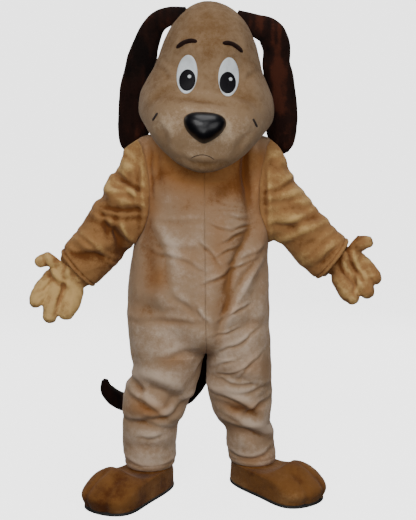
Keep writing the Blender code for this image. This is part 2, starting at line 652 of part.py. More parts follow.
def head_surface(turns, parts):
    """Points of the head before it tilts: turn 0 is the front, part 0 the neck edge, 1 the crown."""
    turns, parts = np.broadcast_arrays(np.asarray(turns, float), np.asarray(parts, float))
    knots = np.linspace(0, 1, len(HEAD["side_x"]))
    value = {name: curve_through(knots, HEAD[name], parts) for name in HEAD}
    level = np.cos(turns)
    ahead = level > 0
    end_y = np.where(ahead, value["front_y"], value["back_y"])
    end_height = np.where(ahead, value["front_height"], value["back_height"])
    x = value["side_x"] * np.sin(turns)
    y = value["side_y"] + (end_y - value["side_y"]) * np.abs(level)
    height = value["side_height"] + (end_height - value["side_height"]) * level**2
    for form in zip(*HEAD_FORMS.values()):
        centre_x, centre_y, centre_height, wide, deep, high, push_y, push_height = form
        away = ((np.abs(x) - centre_x) / wide) ** 2 + ((y - centre_y) / deep) ** 2
        share = np.exp(-(away + ((height - centre_height) / high) ** 2))
        y = y + share * push_y
        height = height + share * push_height
    return np.stack((value["middle_x"] + x, y, height - NECK_HEIGHT), axis=-1)


def head_normals(turns, parts):
    """Outward directions on the head before it tilts."""
    step = 0.004
    parts = np.clip(parts, step, 1 - step)
    turns, parts = np.broadcast_arrays(turns, parts)
    round_it = head_surface(turns + 0.02, parts) - head_surface(turns - 0.02, parts)
    along = head_surface(turns, parts + step) - head_surface(turns, parts - step)
    out = np.cross(round_it, along)
    return out / np.maximum(np.linalg.norm(out, axis=-1, keepdims=True), 1e-12)


def tilt(points):
    """Turns points of the head about the neck opening, so that the crown leans towards +X."""
    away = points - HEAD_PIVOT
    cos, sin = math.cos(HEAD_TILT), math.sin(HEAD_TILT)
    x = away[..., 0] * cos + away[..., 2] * sin
    z = away[..., 2] * cos - away[..., 0] * sin
    return np.stack((x, away[..., 1], z), axis=-1) + HEAD_PIVOT


def face_turns():
    return np.linspace(-HALF_TURN / 2, HALF_TURN / 2, FACE_COLUMNS)[None, :]


def nape_turns():
    return np.linspace(HALF_TURN / 2, 1.5 * HALF_TURN, NAPE_COLUMNS)[None, :]


def head_half(name, turns, shift_y):
    """The face or the back of the head's padded shell, parted on the seam through both ears."""
    parts = np.linspace(0, 1, HEAD_ROWS)[:, None]
    outer = head_surface(turns, parts)
    inner = outer - head_normals(turns, parts) * SHELL
    lip = np.stack(np.broadcast_arrays(0.001 * np.sin(turns[0]), -0.001 * np.cos(turns[0]), SHELL), axis=-1)
    inner[0] = outer[0] + lip
    outer[-1] = outer[-1].mean(axis=0)
    inner[-1] = outer[-1] - np.array((0, 0, SHELL))
    shift = np.array((0, shift_y, 0))
    return add_piece(wall_mesh(name, tilt(outer + shift), tilt(inner + shift)), "tan_plush")


def head_seat():
    """The whole head, closed and a little larger: cuts the seats of what is sewn on it."""
    turns = np.concatenate((face_turns()[:, :-1], nape_turns()[:, :-1]), axis=1)
    parts = np.linspace(0, 1, HEAD_ROWS)[:, None]
    outer = tilt(head_surface(turns, parts) + head_normals(turns, parts) * HEAD_GAP)
    return helper(closed_tube("head_seat", outer[:-1], outer[0].mean(axis=0), outer[-1].mean(axis=0)))


def on_face(x, height):
    """Points of the face straight behind front-view positions, and the direction out of it."""
    turns = face_turns()
    points = head_surface(turns, np.linspace(0, 1, HEAD_ROWS)[:, None])
    grid = np.arange(points[..., 0].size).reshape(points.shape[:2])
    tree = BVHTree.FromPolygons(points.reshape(-1, 3).tolist(), facets(grid).tolist())
    found, out = np.zeros(x.shape + (3,)), np.zeros(3)
    for place in np.ndindex(x.shape):
        start = Vector((float(x[place]), -1.0, float(height[place]) - NECK_HEIGHT))
        hit, normal, _, _ = tree.ray_cast(start, Vector((0, 1, 0)))
        found[place] = hit
        out += np.array(normal) * (-1 if normal.y > 0 else 1)
    return found, out / np.linalg.norm(out)


def oval_grid(centre, outline, columns, rings):
    """Rings of points laid on the face round a centre, and the direction out of the face."""
    angle = np.linspace(0, 2 * HALF_TURN, columns, endpoint=False)[None, :]
    part = np.linspace(0, 1, rings)[:, None]
    across, up = outline(angle)
    base, out = on_face(centre[0] + part * across, centre[1] + part * up)
    return base, out, part


def oval_patch(name, material, grid, low, high, dome=0.0, seat=None):
    """A flat or domed piece on the face, cut to its seat."""
    base, out, part = grid
    rise = high + dome * np.sqrt(np.clip(1 - part**2.2, 0, 1))
    mesh = wall_mesh(name, tilt(base + out * rise[..., None]), tilt(base + out * low), wrap=True)
    if material is None:
        return helper(mesh)
    piece = add_piece(mesh, material)
    cut_by(piece, seat)
    return piece


def cut_by(piece, *cutters):
    for cutter in cutters:
        cut = piece.modifiers.new(cutter.name, "BOOLEAN")
        cut.operation = "DIFFERENCE"
        cut.solver = "EXACT"
        cut.object = cutter


def ellipse(half_width, half_height):
    return lambda angle: (half_width * np.cos(angle), half_height * np.sin(angle))


def nose_outline(angle):
    """A rounded triangle, wide above and narrow below."""
    level = np.cos(angle)
    reach = NOSE["half_width"] * np.sign(level) * np.abs(level) ** 0.8
    return reach * (0.80 + 0.30 * np.sin(angle)), NOSE["half_height"] * np.sin(angle)


def brow(name, side, seat):
    """A short arched strip of dark plush over an eye."""
    part = np.linspace(-1, 1, 9)[None, :]
    across = np.array((-1.0, 0.0, 1.0))[:, None]
    wide = BROW["half_width"] * np.sqrt(np.clip(1 - 0.97 * part**2, 0.05, 1))
    x = FACE_MIDDLE + SIDES[side] * (BROW["x"] + BROW["half_length"] * part) + 0 * across
    height = BROW["height"] + BROW["arch"] * (1 - part**2) - 0.010 * part + wide * across
    base, out = on_face(x, height)
    swell = 0.0045 + 0.003 * (1 - across**2) * np.ones_like(part)
    mesh = wall_mesh(name, tilt(base + out * swell[..., None]), tilt(base - out * 0.003))
    cut_by(add_piece(mesh, "dark_plush"), seat)


def eye(side, seat):
    """White and pupil, each cut to the one below it."""
    sign = SIDES[side]
    centre = (FACE_MIDDLE + sign * EYE["x"], EYE["height"])
    white = oval_grid(centre, ellipse(EYE["half_width"], EYE["half_height"]), 16, 3)
    oval_patch("eye_white_" + side, "white_felt", white, -0.003, EYE["thick"], seat=seat)
    level = EYE["thick"] + REST_GAP
    white_seat = oval_patch("white_seat_" + side, None, white, -0.010, level)
    centre = (centre[0] - sign * PUPIL["inward"], centre[1] - PUPIL["drop"])
    dark = oval_grid(centre, ellipse(PUPIL["half_width"], PUPIL["half_height"]), 16, 3)
    oval_patch("pupil_" + side, "gloss_black", dark, -0.002, level + PUPIL["thick"], seat=white_seat)


def nose(seat):
    grid = oval_grid((FACE_MIDDLE, NOSE["height"]), nose_outline, 20, 6)
    oval_patch("nose", "gloss_black", grid, -0.012, 0.006, NOSE["thick"], seat)


def tube_rings(path, columns):
    """Rings of an oval tube along a table's path."""
    knots = np.linspace(0, 1, len(path["x"]))
    steps = np.linspace(0, 1, 2 * len(knots) - 1)
    value = {name: curve_through(knots, path[name], steps) for name in path}
    middle = np.stack((value["x"], value["y"], value["height"] - NECK_HEIGHT), axis=-1)
    ahead = np.gradient(middle, axis=0)
    ahead /= np.linalg.norm(ahead, axis=1, keepdims=True)
    front = np.array((0, -1, 0)) - ahead * (ahead @ np.array((0, -1, 0)))[:, None]
    front /= np.linalg.norm(front, axis=1, keepdims=True)
    across = np.cross(ahead, front)
    angle = np.linspace(0, 2 * HALF_TURN, columns, endpoint=False)
    wide = value["half_width"] if "half_width" in value else value["radius"]
    thick = value["half_thick"] if "half_thick" in value else value["radius"]
    rings = middle[:, None] + across[:, None] * (wide[:, None] * np.cos(angle))[..., None]
    return rings + front[:, None] * (thick[:, None] * np.sin(angle))[..., None], middle, ahead, value


def closed_tube(name, rings, first_point, last_point):
    """A closed mesh from rings of points, each end drawn to one point."""
    rows, columns = rings.shape[:2]
    index = np.arange(rows * columns).reshape(rows, columns)
    index = np.concatenate((index, index[:, :1]), axis=1)
    first, last = rows * columns, rows * columns + 1
    fans = [(first, int(index[0, k + 1]), int(index[0, k])) for k in range(columns)]
    fans += [(last, int(index[-1, k]), int(index[-1, k + 1])) for k in range(columns)]
    points = np.concatenate((rings.reshape(-1, 3), [first_point], [last_point]))
    mesh = bpy.data.meshes.new(name)
    mesh.from_pydata(points.tolist(), [], facets(index).tolist() + fans)
    return tidy(mesh)


def ear(name, side, seat):
    """A long flat stuffed ear; its root is cut to the head's surface."""
    rings, middle, ahead, value = tube_rings(EARS[side], 12)
    mesh = closed_tube(name, rings, middle[0], middle[-1] + ahead[-1] * 0.006)
    piece = add_piece(mesh, "dark_plush")
    cut_by(piece, seat)
    return piece


def tail(name):
    """A stuffed tail; its root is cut to the seat of the suit."""
    rings, middle, ahead, value = tube_rings(TAIL, 10)
    mesh = closed_tube(name, rings, middle[0], middle[-1] + ahead[-1] * 0.008)
    cut_by(add_piece(mesh, "dark_plush"), suit_seat("right"), suit_seat("left"))


def back_grid(side):
    """The outer points of a back panel and the outward directions there."""
    heights, spreads = suit_rows()
    part = np.linspace(0, 1, PANEL_COLUMNS["back"])[None, :]
    edge = HALF_TURN / 2 + np.maximum(spreads, SEAM_TURN)[:, None]
    turns = HALF_TURN - SEAM_TURN + (edge - HALF_TURN + SEAM_TURN) * part
    return suit_surface(side, turns, heights[:, None])


def suit_seat(side):
    """Half of the suit's seat as a block behind its own surface: cuts the tail's root."""
    heights, _ = suit_rows()
    near = (heights > CROTCH_HEIGHT + 0.01) & (heights < 0.80)
    grid, out = back_grid(side)
    grid = (grid + out * REST_GAP)[near][:, :4]
    past_middle = grid[:, :1] - np.array((0.002 * SIDES[side], 0, 0))
    grid = np.concatenate((past_middle, grid), axis=1)
    return helper(wall_mesh("suit_seat_" + side, grid, grid * np.array((1, 0, 1)) + np.array((0, 0.04, 0))))


def shoe_outline(angle, grow=0.0):
    """The sole's paddle shape: along the foot and across it, measured from the ankle's middle."""
    lead = np.cos(angle)
    half = SHOE["waist"] + np.where(lead > 0, SHOE["toe_spread"], SHOE["heel_spread"]) * lead**2
    along = SHOE["middle"] + (SHOE["half_length"] + grow) * lead
    return along, (half + grow) * np.sin(angle) + SHOE["bend"] * np.clip(lead, 0, 1) ** 2


def shoe_place(side, along, across, height):
    """From a shoe's own directions to the costume's: its toe points forward and outward."""
    shoe, sign = SHOES[side], SIDES[side]
    cos, sin = math.cos(shoe["toe_out"]), math.sin(shoe["toe_out"])
    x = shoe["x"] + sign * (along * sin + across * cos)
    y = shoe["y"] - along * cos + across * sin
    return np.stack(np.broadcast_arrays(x, y, height - NECK_HEIGHT), axis=-1)


def ankle_outline(side, angle, height, inset):
    """The leg's oval at a height seen in the shoe's directions, drawn in by a little."""
    leg = {name: curve_through(LEGS[side]["height"], LEGS[side][name], height) for name in LEGS[side]}
    shoe, sign = SHOES[side], SIDES[side]
    half_x = 0.5 * np.abs(leg["outer_x"] - leg["inner_x"]) - inset
    half_y = leg["half_depth"] - inset
    away_x = sign * (0.5 * (leg["outer_x"] + leg["inner_x"]) - shoe["x"])
    away_y = leg["middle_y"] - shoe["y"]
    cos, sin = math.cos(shoe["toe_out"]), math.sin(shoe["toe_out"])
    turned = angle + shoe["toe_out"]
    reach = half_x * half_y / np.hypot(half_y * np.sin(turned), half_x * np.cos(turned))
    along = reach * np.cos(angle) + away_x * sin - away_y * cos
    return along, reach * np.sin(angle) + away_x * cos + away_y * sin


def shoe_surface(side, columns, rows, inset=0.0):
    """Points of a shoe cover drawn in by an inset: a dome from sole to ankle, then a collar."""
    angle = np.linspace(0, 2 * HALF_TURN, columns, endpoint=False)[None, :]
    rise = np.linspace(0, HALF_TURN / 2, rows)[:, None]
    sole_along, sole_across = shoe_outline(angle, -inset)
    ankle_along, ankle_across = ankle_outline(side, angle, HEM_HEIGHT, ANKLE_INSET + inset)
    forward = np.clip(0.4 + np.cos(angle), 0, 1)
    spread = np.cos(rise) ** 0.75 * (1 + 0.17 * forward * np.sin(2 * rise) * (rise < 0.8))
    lift = np.sin(rise) ** 0.75
    along = ankle_along + (sole_along - ankle_along) * spread
    across = ankle_across + (sole_across - ankle_across) * spread
    low = SOLE_THICK + 0.0004
    height = low + (SHOE_TOP - inset - low) * lift
    bent = SHOE["bend"] * np.clip((along - SHOE["middle"]) / SHOE["half_length"], 0, 1) ** 2
    toe = np.exp(-(((along - 0.212) / 0.090) ** 2) - ((across - 0.030) / 0.100) ** 2)
    height = height + TOE_RISE * toe * lift * np.clip((spread - 0.10) / 0.35, 0, 1)
    grooves = sum(np.exp(-(((across - bent - place * along / 0.25) / 0.010) ** 2)) for place in (-0.034, 0.034))
    groove_zone = np.clip((along - 0.200) / 0.05, 0, 1)
    height = height - 0.008 * grooves * groove_zone * lift
    along = along - 0.007 * grooves * groove_zone * (1 - lift)
    collar_height = np.linspace(SHOE_TOP, SHOE_COLLAR, 3)[1:, None]
    collar_along, collar_across = ankle_outline(side, angle, collar_height, ANKLE_INSET + inset)
    along = np.concatenate((along, collar_along))
    across = np.concatenate((across, collar_across))
    height = np.concatenate((height, collar_height + 0 * angle))
    return shoe_place(side, along, across, height)


def shoe(side):
    outer = shoe_surface(side, SHOE_COLUMNS, 8)
    inner = shoe_surface(side, SHOE_COLUMNS, 8, PLUSH)
    add_piece(wall_mesh("shoe_" + side, outer, inner, wrap=True), "brown_plush")
    angle = np.linspace(0, 2 * HALF_TURN, SHOE_COLUMNS, endpoint=False)[None, :]
    along, across = shoe_outline(angle, grow=0.002)
    level = np.array((0.0, SOLE_THICK))[:, None]
    plate = shoe_place(side, along + 0 * level, across + 0 * level, level + 0 * along)
    middle = plate.mean(axis=1)
    add_piece(closed_tube("sole_" + side, plate, middle[0], middle[1]), "black_rubber")


def finger_meshes(side, shrink, name):
    """Palm, fingers and thumb as overlapping closed tubes in one mesh."""
    points, faces = [], []
    for path in GLOVES[side].values():
        rings, middle, ahead, value = tube_rings(path, 12)
        radius = value["radius"]
        rings = middle[:, None] + (rings - middle[:, None]) * ((radius - shrink) / radius)[:, None, None]
        first_cap, last_cap = radius[0] - shrink, radius[-1] - shrink
        first_ring = rings[0] - rings[0].mean(axis=0)
        last_ring = rings[-1] - rings[-1].mean(axis=0)
        for share in (0.75, 0.4):
            near = middle[0] - ahead[0] * first_cap * math.sqrt(1 - share**2) + first_ring * share
            far = middle[-1] + ahead[-1] * last_cap * math.sqrt(1 - share**2) + last_ring * share
            rings = np.concatenate((near[None], rings, far[None]))
        near = middle[0] - ahead[0] * first_cap
        far = middle[-1] + ahead[-1] * last_cap
        tube = closed_tube("tube", rings, near, far)
        start = len(points)
        points += [list(corner.co) for corner in tube.vertices]
        faces += [[start + k for k in face.vertices] for face in tube.polygons]
        bpy.data.meshes.remove(tube)
    mesh = bpy.data.meshes.new(name)
    mesh.from_pydata(points, [], faces)
    return mesh


def fused(mesh, voxel, keep):
    """One smooth closed skin over overlapping closed shapes, with a share of its faces kept."""
    source = bpy.data.objects.new(mesh.name, mesh)
    CUTTERS.objects.link(source)
    remesh = source.modifiers.new("skin", "REMESH")
    remesh.mode = "VOXEL"
    remesh.voxel_size = voxel
    soften = source.modifiers.new("soften", "SMOOTH")
    soften.factor = 0.5
    soften.iterations = 6
    thin = source.modifiers.new("fewer_faces", "DECIMATE")
    thin.ratio = keep
    graph = bpy.context.evaluated_depsgraph_get()
    result = bpy.data.meshes.new_from_object(source.evaluated_get(graph))
    bpy.data.objects.remove(source, do_unlink=True)
    result.name = mesh.name
    return result


def helper(mesh):
    """A cutter: shown as wires and left out of the model."""
    item = bpy.data.objects.new(mesh.name, mesh)
    CUTTERS.objects.link(item)
    item.hide_render = True
    item.display_type = "WIRE"
    return item


def cuff_frame(side):
    """Middle of the sleeve's last section, its direction out of the sleeve, and the section's points."""
    rings, _ = sleeve_surface(side, SLEEVE_RINGS, ARMHOLE_ROWS)
    last = rings[-1]
    middle = last.mean(axis=0)
    ahead = middle - rings[-3].mean(axis=0)
    return middle, ahead / np.linalg.norm(ahead), rings


def glove(side):
    """A hollow glove: the hand is a fused skin, its cuff a band that fits inside the sleeve."""
    middle, ahead, rings = cuff_frame(side)
    skin = fused(finger_meshes(side, 0.0, "glove_" + side), 0.0055, 0.036)
    hollow = fused(finger_meshes(side, PLUSH + 0.0008, "glove_hollow_" + side), 0.0055, 0.030)
    piece = add_piece(tidy(skin), "golden_plush")
    piece.name = "glove_" + side
    inside = helper(tidy(hollow))
    block = bpy.data.meshes.new("wrist_cut_" + side)
    work = bmesh.new()
    bmesh.ops.create_cube(work, size=0.4)
    work.to_mesh(block)
    work.free()
    wrist = helper(block)
    facing = Vector(ahead.tolist()).to_track_quat("Z", "Y").to_matrix().to_4x4()
    place = Vector((middle + ahead * (WRIST_AHEAD + 0.0003 - 0.2)).tolist())
    wrist.matrix_world = Matrix.Translation(place) @ facing
    cut_by(piece, inside, wrist)
    cuff(side, middle, ahead, rings)


def cuff(side, middle, ahead, rings):
    """The glove's cuff: its outer points are the sleeve's inner ones, drawn in by a little."""
    out = SIDES[side] * normals_of(rings, wrap=True)
    inside = (rings - out * (PLUSH + 0.0012))[-3:-1]
    flat = (inside[-1] - middle) * np.array((1.0, 0.92, 1.0))
    flat = flat - (flat @ ahead)[:, None] * ahead
    narrow = middle + flat * 0.90
    end = middle + flat * 0.74 + ahead * WRIST_AHEAD
    outer = np.concatenate((inside, narrow[None], end[None]))
    direction = SIDES[side] * normals_of(outer, wrap=True)
    direction[-1] = direction[-1] - ahead * (direction[-1] @ ahead)[:, None]
    direction[-1] /= np.linalg.norm(direction[-1], axis=-1, keepdims=True)
    add_piece(wall_mesh("glove_cuff_" + side, outer, outer - direction * PLUSH, wrap=True), "golden_plush")


def zip_line(heights):
    """Points down the middle of the back, and the outward directions there."""
    return suit_surface("left", np.full(len(heights), HALF_TURN), np.array(heights))


def zip_pieces():
    """Tape with its chain, the slider at the top and the pull tab on the slider."""
    heights, _ = suit_rows()
    rows = heights[(heights < ZIP["top"]) & (heights > ZIP["bottom"])]
    rows = np.concatenate(([ZIP["top"]], rows, [ZIP["bottom"]]))
    line, out = zip_line(rows)
    out[:, 0] = 0
    out /= np.linalg.norm(out, axis=1, keepdims=True)
    across = np.array((-1.0, -0.45, 0.45, 1.0)) * ZIP["half_width"]
    low = line[:, None] + out[:, None] * (REST_GAP + 0.0002)
    low = low + np.stack((across, 0 * across, 0 * across), axis=-1)[None]
    high = low + out[:, None] * (ZIP["thick"] * np.array((0.5, 1.0, 1.0, 0.5)))[None, :, None]
    add_piece(wall_mesh("zip_tape", high, low), "brown_tape")
    seat, face = zip_line([ZIP_SLIDER["height"], ZIP_SLIDER["height"] - 0.012])
    face = face[0] / np.linalg.norm(face[0])
    down = seat[1] - seat[0]
    down[0] = 0
    down /= np.linalg.norm(down)
    face = np.cross(down, (1.0, 0, 0))
    face *= np.sign(face[1])
    base = seat[0] + face * (REST_GAP + 0.0002 + ZIP["thick"] + 0.0009)
    facing = Matrix((Vector((1, 0, 0)), Vector(down.tolist()), Vector(face.tolist()))).transposed().to_4x4()
    block("zip_slider", base, facing, ZIP_SLIDER, "zip_metal")
    hinge = base + face * (ZIP_SLIDER["thick"] + ZIP_PULL["gap"] + 0.5 * ZIP_PULL["thick"])
    pull_tab(hinge, facing)


def block(name, base, facing, size, material):
    """A small box with rounded edges standing on a base point."""
    mesh = bpy.data.meshes.new(name)
    work = bmesh.new()
    bmesh.ops.create_cube(work, size=1.0)
    scale = Matrix.Diagonal((2 * size["half_width"], 2 * size["half_length"], size["thick"], 1))
    lift = Matrix.Translation((0, 0, 0.5 * size["thick"]))
    place = Matrix.Translation(base.tolist()) @ facing @ lift @ scale
    bmesh.ops.transform(work, matrix=place, verts=work.verts)
    work.to_mesh(mesh)
    work.free()
    piece = add_piece(tidy(mesh), material)
    bevel = piece.modifiers.new("edges", "BEVEL")
    bevel.width = 0.0009
    bevel.segments = 1
    return piece


def pull_tab(hinge, facing):
    """The pull: a flat tab that hangs from the slider and swings out from the back."""
    outline = []
    half, length = ZIP_PULL["half_width"], ZIP_PULL["length"]
    for step in range(9):
        angle = HALF_TURN * step / 8
        outline.append((half * math.cos(angle), length - half + half * math.sin(angle)))
    top = 0.5 * ZIP_PULL["thick"]
    outline += [(-half, 0.002), (-half * 0.6, -top), (half * 0.6, -top), (half, 0.002)]
    mesh = bpy.data.meshes.new("zip_pull")
    work = bmesh.new()
    corners = [work.verts.new((x, y, -0.5 * ZIP_PULL["thick"])) for x, y in outline]
    sheet = work.faces.new(corners)
    raised = bmesh.ops.extrude_face_region(work, geom=[sheet])
    moved = [item for item in raised["geom"] if isinstance(item, bmesh.types.BMVert)]
    bmesh.ops.translate(work, verts=moved, vec=(0, 0, ZIP_PULL["thick"]))
    bmesh.ops.transform(work, matrix=facing, verts=work.verts)
    work.to_mesh(mesh)
    work.free()
    piece = add_piece(tidy(mesh), "zip_metal")
    piece.location = hinge.tolist()
    return piece


clear_scene()
PIECES = make_collection("dog_costume")
CUTTERS = make_collection("cutters")
MATERIALS = {name: make_material(name) for name in COLOURS}

for SIDE in SIDES:
    body_panel("front_" + SIDE, SIDE, back=False)
    body_panel("back_" + SIDE, SIDE, back=True)
    sleeve("sleeve_" + SIDE, SIDE)
    shoe(SIDE)
    glove(SIDE)
head_half("head_face", face_turns(), -HALF_SEAM)
head_half("head_back", nape_turns(), HALF_SEAM)
HEAD_SEAT = head_seat()
for SIDE in SIDES:
    ear("ear_" + SIDE, SIDE, HEAD_SEAT)
    eye(SIDE, HEAD_SEAT)
    brow("brow_" + SIDE, SIDE, HEAD_SEAT)
nose(HEAD_SEAT)
tail("tail")
zip_pieces()
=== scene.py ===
import math

import bmesh
import bpy
import numpy as np
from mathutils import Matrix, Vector


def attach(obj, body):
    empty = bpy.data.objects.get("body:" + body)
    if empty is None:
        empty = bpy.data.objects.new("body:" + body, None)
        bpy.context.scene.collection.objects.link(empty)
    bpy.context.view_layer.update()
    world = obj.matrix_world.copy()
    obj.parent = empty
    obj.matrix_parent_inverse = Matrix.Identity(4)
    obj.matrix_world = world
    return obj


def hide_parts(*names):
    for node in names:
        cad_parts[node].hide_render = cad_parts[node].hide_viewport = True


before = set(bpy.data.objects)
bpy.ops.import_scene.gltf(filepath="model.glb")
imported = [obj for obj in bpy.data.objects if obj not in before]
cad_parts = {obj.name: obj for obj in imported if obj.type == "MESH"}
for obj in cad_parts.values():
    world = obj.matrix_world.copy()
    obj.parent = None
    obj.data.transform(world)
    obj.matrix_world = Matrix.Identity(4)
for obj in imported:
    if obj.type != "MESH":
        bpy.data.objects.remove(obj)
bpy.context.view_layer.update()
wornBody = "costume"
neckHeight = 1.40  # the origin is the middle of the neck opening; tables give heights above the floor
halfTurn = math.pi
fullTurn = 2 * math.pi
sides = {"right": -1, "left": 1}  # the wearer's right is at -X, the front faces -Y
cloth = {"plush": 0.005, "shell": 0.011, "halfSeam": 0.00005}
print("frame loaded")


def table(columns, *rows):  # named columns, one row for each section
    return {name: np.array(values, float) for name, values in zip(columns.split(), zip(*rows))}


def curveThrough(knots, values, at):
    # a cubic step between two rows, its slope at each row the mean of the steps beside it
    order = np.argsort(knots)
    knots, values = knots[order], values[order]
    steps = np.diff(values) / np.diff(knots)
    slopes = np.concatenate((steps[:1], 0.5 * (steps[1:] + steps[:-1]), steps[-1:]))
    at = np.clip(at, knots[0], knots[-1])
    left = np.clip(np.searchsorted(knots, at, side="right") - 1, 0, len(knots) - 2)
    span = knots[left + 1] - knots[left]
    part = (at - knots[left]) / span
    rest = 1 - part
    ends = values[left] * (1 + 2 * part) * rest**2 + values[left + 1] * (1 + 2 * rest) * part**2
    return ends + slopes[left] * span * part * rest**2 - slopes[left + 1] * span * rest * part**2


def smooth(share):  # 0 to 1 with level ends
    share = np.clip(share, 0, 1)
    return share * share * (3 - 2 * share)


def bell(away, width):  # 1 on a line, falling off over the width beside it
    return np.exp(-((away / width) ** 2))


def lumps(points, size, seed):
    # value noise from -1 to 1: a fixed random number at each corner of a cell, blended inside it
    cells = points / size
    low = np.floor(cells).astype(np.int64)
    part = smooth(cells - low)
    total = np.zeros(points.shape[:-1])
    for corner in np.ndindex(2, 2, 2):
        at = low + np.array(corner)
        mixed = at[..., 0] * 73856093 + at[..., 1] * 19349663 + at[..., 2] * 83492791 + seed * 2654435
        mixed = (mixed ^ (mixed >> 13)) * 1274126177
        value = ((mixed ^ (mixed >> 16)) & 0xFFFF) / 0xFFFF
        total += value * np.prod(np.where(np.array(corner) == 1, part, 1 - part), axis=-1)
    return 2 * total - 1


def lumpy(points, seed, *sizes):  # the sum of lumps of a few sizes, each with its height in metres
    return sum(lumps(points, size, seed + step) * high for step, (size, high) in enumerate(sizes))


def foldDepth(folds, x, height):
    # each fold is a bell-shaped trough along a bowed line in the front view, with a wider ridge beside it
    moved = np.zeros(np.broadcast(x, height).shape)
    for x0, height0, x1, height1, bow, width, depth, ridge in zip(*folds.values()):
        along = np.array((x1 - x0, height1 - height0))
        length = float(np.hypot(*along))
        along = along / length
        forward = (x - x0) * along[0] + (height - height0) * along[1]
        part = np.clip(forward / length, 0, 1)
        across = (height - height0) * along[0] - (x - x0) * along[1] - 4 * bow * part * (1 - part)
        beyond = (forward - part * length) / (0.35 * length)  # past either end of the line
        fade = bell(beyond, 1) * (0.35 + 0.65 * np.sin(halfTurn * (0.12 + 0.76 * part)))
        moved += fade * (ridge * bell(across - 1.7 * width, 1.2 * width) - depth * bell(across, width))
    return moved


def toneAt(patches, x, height):  # soft oval patches that push a value down (-) or up (+); the tone tables use them for painted shade and highlight as well as pile tone
    total = np.zeros(np.broadcast(x, height).shape)
    for atX, atHeight, wide, high, shift in zip(*patches.values()):
        total += shift * np.exp(-(((x - atX) / wide) ** 2) - ((height - atHeight) / high) ** 2)
    return total


def frontShare(out):  # 1 where the cloth faces the front, 0 where it faces the back
    return np.clip(0.5 - out[..., 1] * 1.6, 0, 1)


def unit(arrows):  # the same directions, each one long
    return arrows / np.maximum(np.linalg.norm(arrows, axis=-1, keepdims=True), 1e-12)


def normalsOf(points, wrap=False):  # square to a grid, from the differences between neighbours
    if wrap:
        roundIt = np.roll(points, -1, axis=1) - np.roll(points, 1, axis=1)
    else:
        roundIt = np.gradient(points, axis=1)
    return unit(np.cross(roundIt, np.gradient(points, axis=0)))


def cells(grid):  # the four corners of each cell of a grid of point numbers
    return np.stack((grid[:-1, :-1], grid[:-1, 1:], grid[1:, 1:], grid[1:, :-1]), axis=-1).reshape(-1, 4)


def meshFrom(name, points, quads, **values):
    # points, faces and values go in as whole arrays; the faces are turned out if their volume is negative
    corners = points[quads]
    first = np.cross(corners[:, 1], corners[:, 2])
    second = np.cross(corners[:, 2], corners[:, -1])
    if float((corners[:, 0] * (first + second)).sum()) < 0:
        quads = quads[:, ::-1]
    mesh = bpy.data.meshes.new(name)
    mesh.vertices.add(len(points))
    mesh.vertices.foreach_set("co", points.astype(np.float32).ravel())
    mesh.loops.add(quads.size)
    mesh.loops.foreach_set("vertex_index", quads.astype(np.int32).ravel())
    mesh.polygons.add(len(quads))
    mesh.polygons.foreach_set("loop_start", np.arange(0, quads.size, quads.shape[1], dtype=np.int32))
    mesh.update(calc_edges=True)
    for label, numbers in values.items():
        layer = mesh.attributes.new(label, "FLOAT", "POINT")
        layer.data.foreach_set("value", np.asarray(numbers, np.float32).ravel())
    mesh.shade_smooth()
    return mesh


def wall(name, outer, inner, nap, wrap=False, warmAndPaintedShade=0.0):
    # a closed wall of cloth: the outer grid, the inner grid and a strip round their edges
    rows, columns = outer.shape[:2]
    grid = np.arange(rows * columns).reshape(rows, columns)
    if wrap:
        grid = np.concatenate((grid, grid[:, :1]), axis=1)
    behind = grid + rows * columns
    faces = [cells(grid), cells(behind)[:, ::-1]]
    faces += [cells(np.stack((behind[0], grid[0]))), cells(np.stack((grid[-1], behind[-1])))]
    if not wrap:
        faces += [cells(np.stack((grid[:, 0], behind[:, 0])))]
        faces += [cells(np.stack((behind[:, -1], grid[:, -1])))]
    points = np.concatenate((outer.reshape(-1, 3), inner.reshape(-1, 3)))
    nap, warmAndPaintedShade = (np.broadcast_to(values, (rows, columns)).ravel() for values in (nap, warmAndPaintedShade))
    both = {"nap": np.concatenate((nap, nap)), "warmAndPaintedShade": np.concatenate((warmAndPaintedShade, warmAndPaintedShade))}
    return meshFrom(name, points, np.concatenate(faces), **both)


def closedTube(name, rings, first, last, nap):
    # rings of points joined along a path, each end drawn to one point
    rows, columns = rings.shape[:2]
    ends = np.stack((np.broadcast_to(first, (columns, 3)), np.broadcast_to(last, (columns, 3))))
    points = np.concatenate((ends[:1], rings, ends[1:]))
    grid = np.arange((rows + 2) * columns).reshape(rows + 2, columns)
    grid = np.concatenate((grid, grid[:, :1]), axis=1)
    nap = np.broadcast_to(nap, (rows, columns))
    nap = np.concatenate((nap[:1], nap, nap[-1:]))
    return welded(meshFrom(name, points.reshape(-1, 3), cells(grid), nap=nap))


def welded(mesh):  # joins points that coincide, as at a pole
    work = bmesh.new()
    work.from_mesh(mesh)
    bmesh.ops.remove_doubles(work, verts=work.verts, dist=1e-6)
    bmesh.ops.dissolve_degenerate(work, dist=1e-7, edges=work.edges)
    work.to_mesh(mesh)
    work.free()
    mesh.shade_smooth()
    return mesh


def areaOf(grid, wrap=False):  # square metres of a grid of points
    grid = np.concatenate((grid, grid[:, :1]), axis=1) if wrap else grid
    across, down = grid[:-1, 1:] - grid[:-1, :-1], grid[1:, :-1] - grid[:-1, :-1]
    return float(np.linalg.norm(np.cross(across, down), axis=-1).sum())


def addObject(name, data):  # at the origin, unturned
    added = bpy.data.objects.new(name, data)
    bpy.context.scene.collection.objects.link(added)
    return added


def dress(mesh, finish, slotName, *nodes):  # makes the piece, in its place and on its body
    piece = addObject(mesh.name, mesh)
    mesh.materials.clear()
    mesh.materials.append(finish)
    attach(piece, wornBody)
    if nodes:
        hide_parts(*nodes)
    return piece


# Finishes

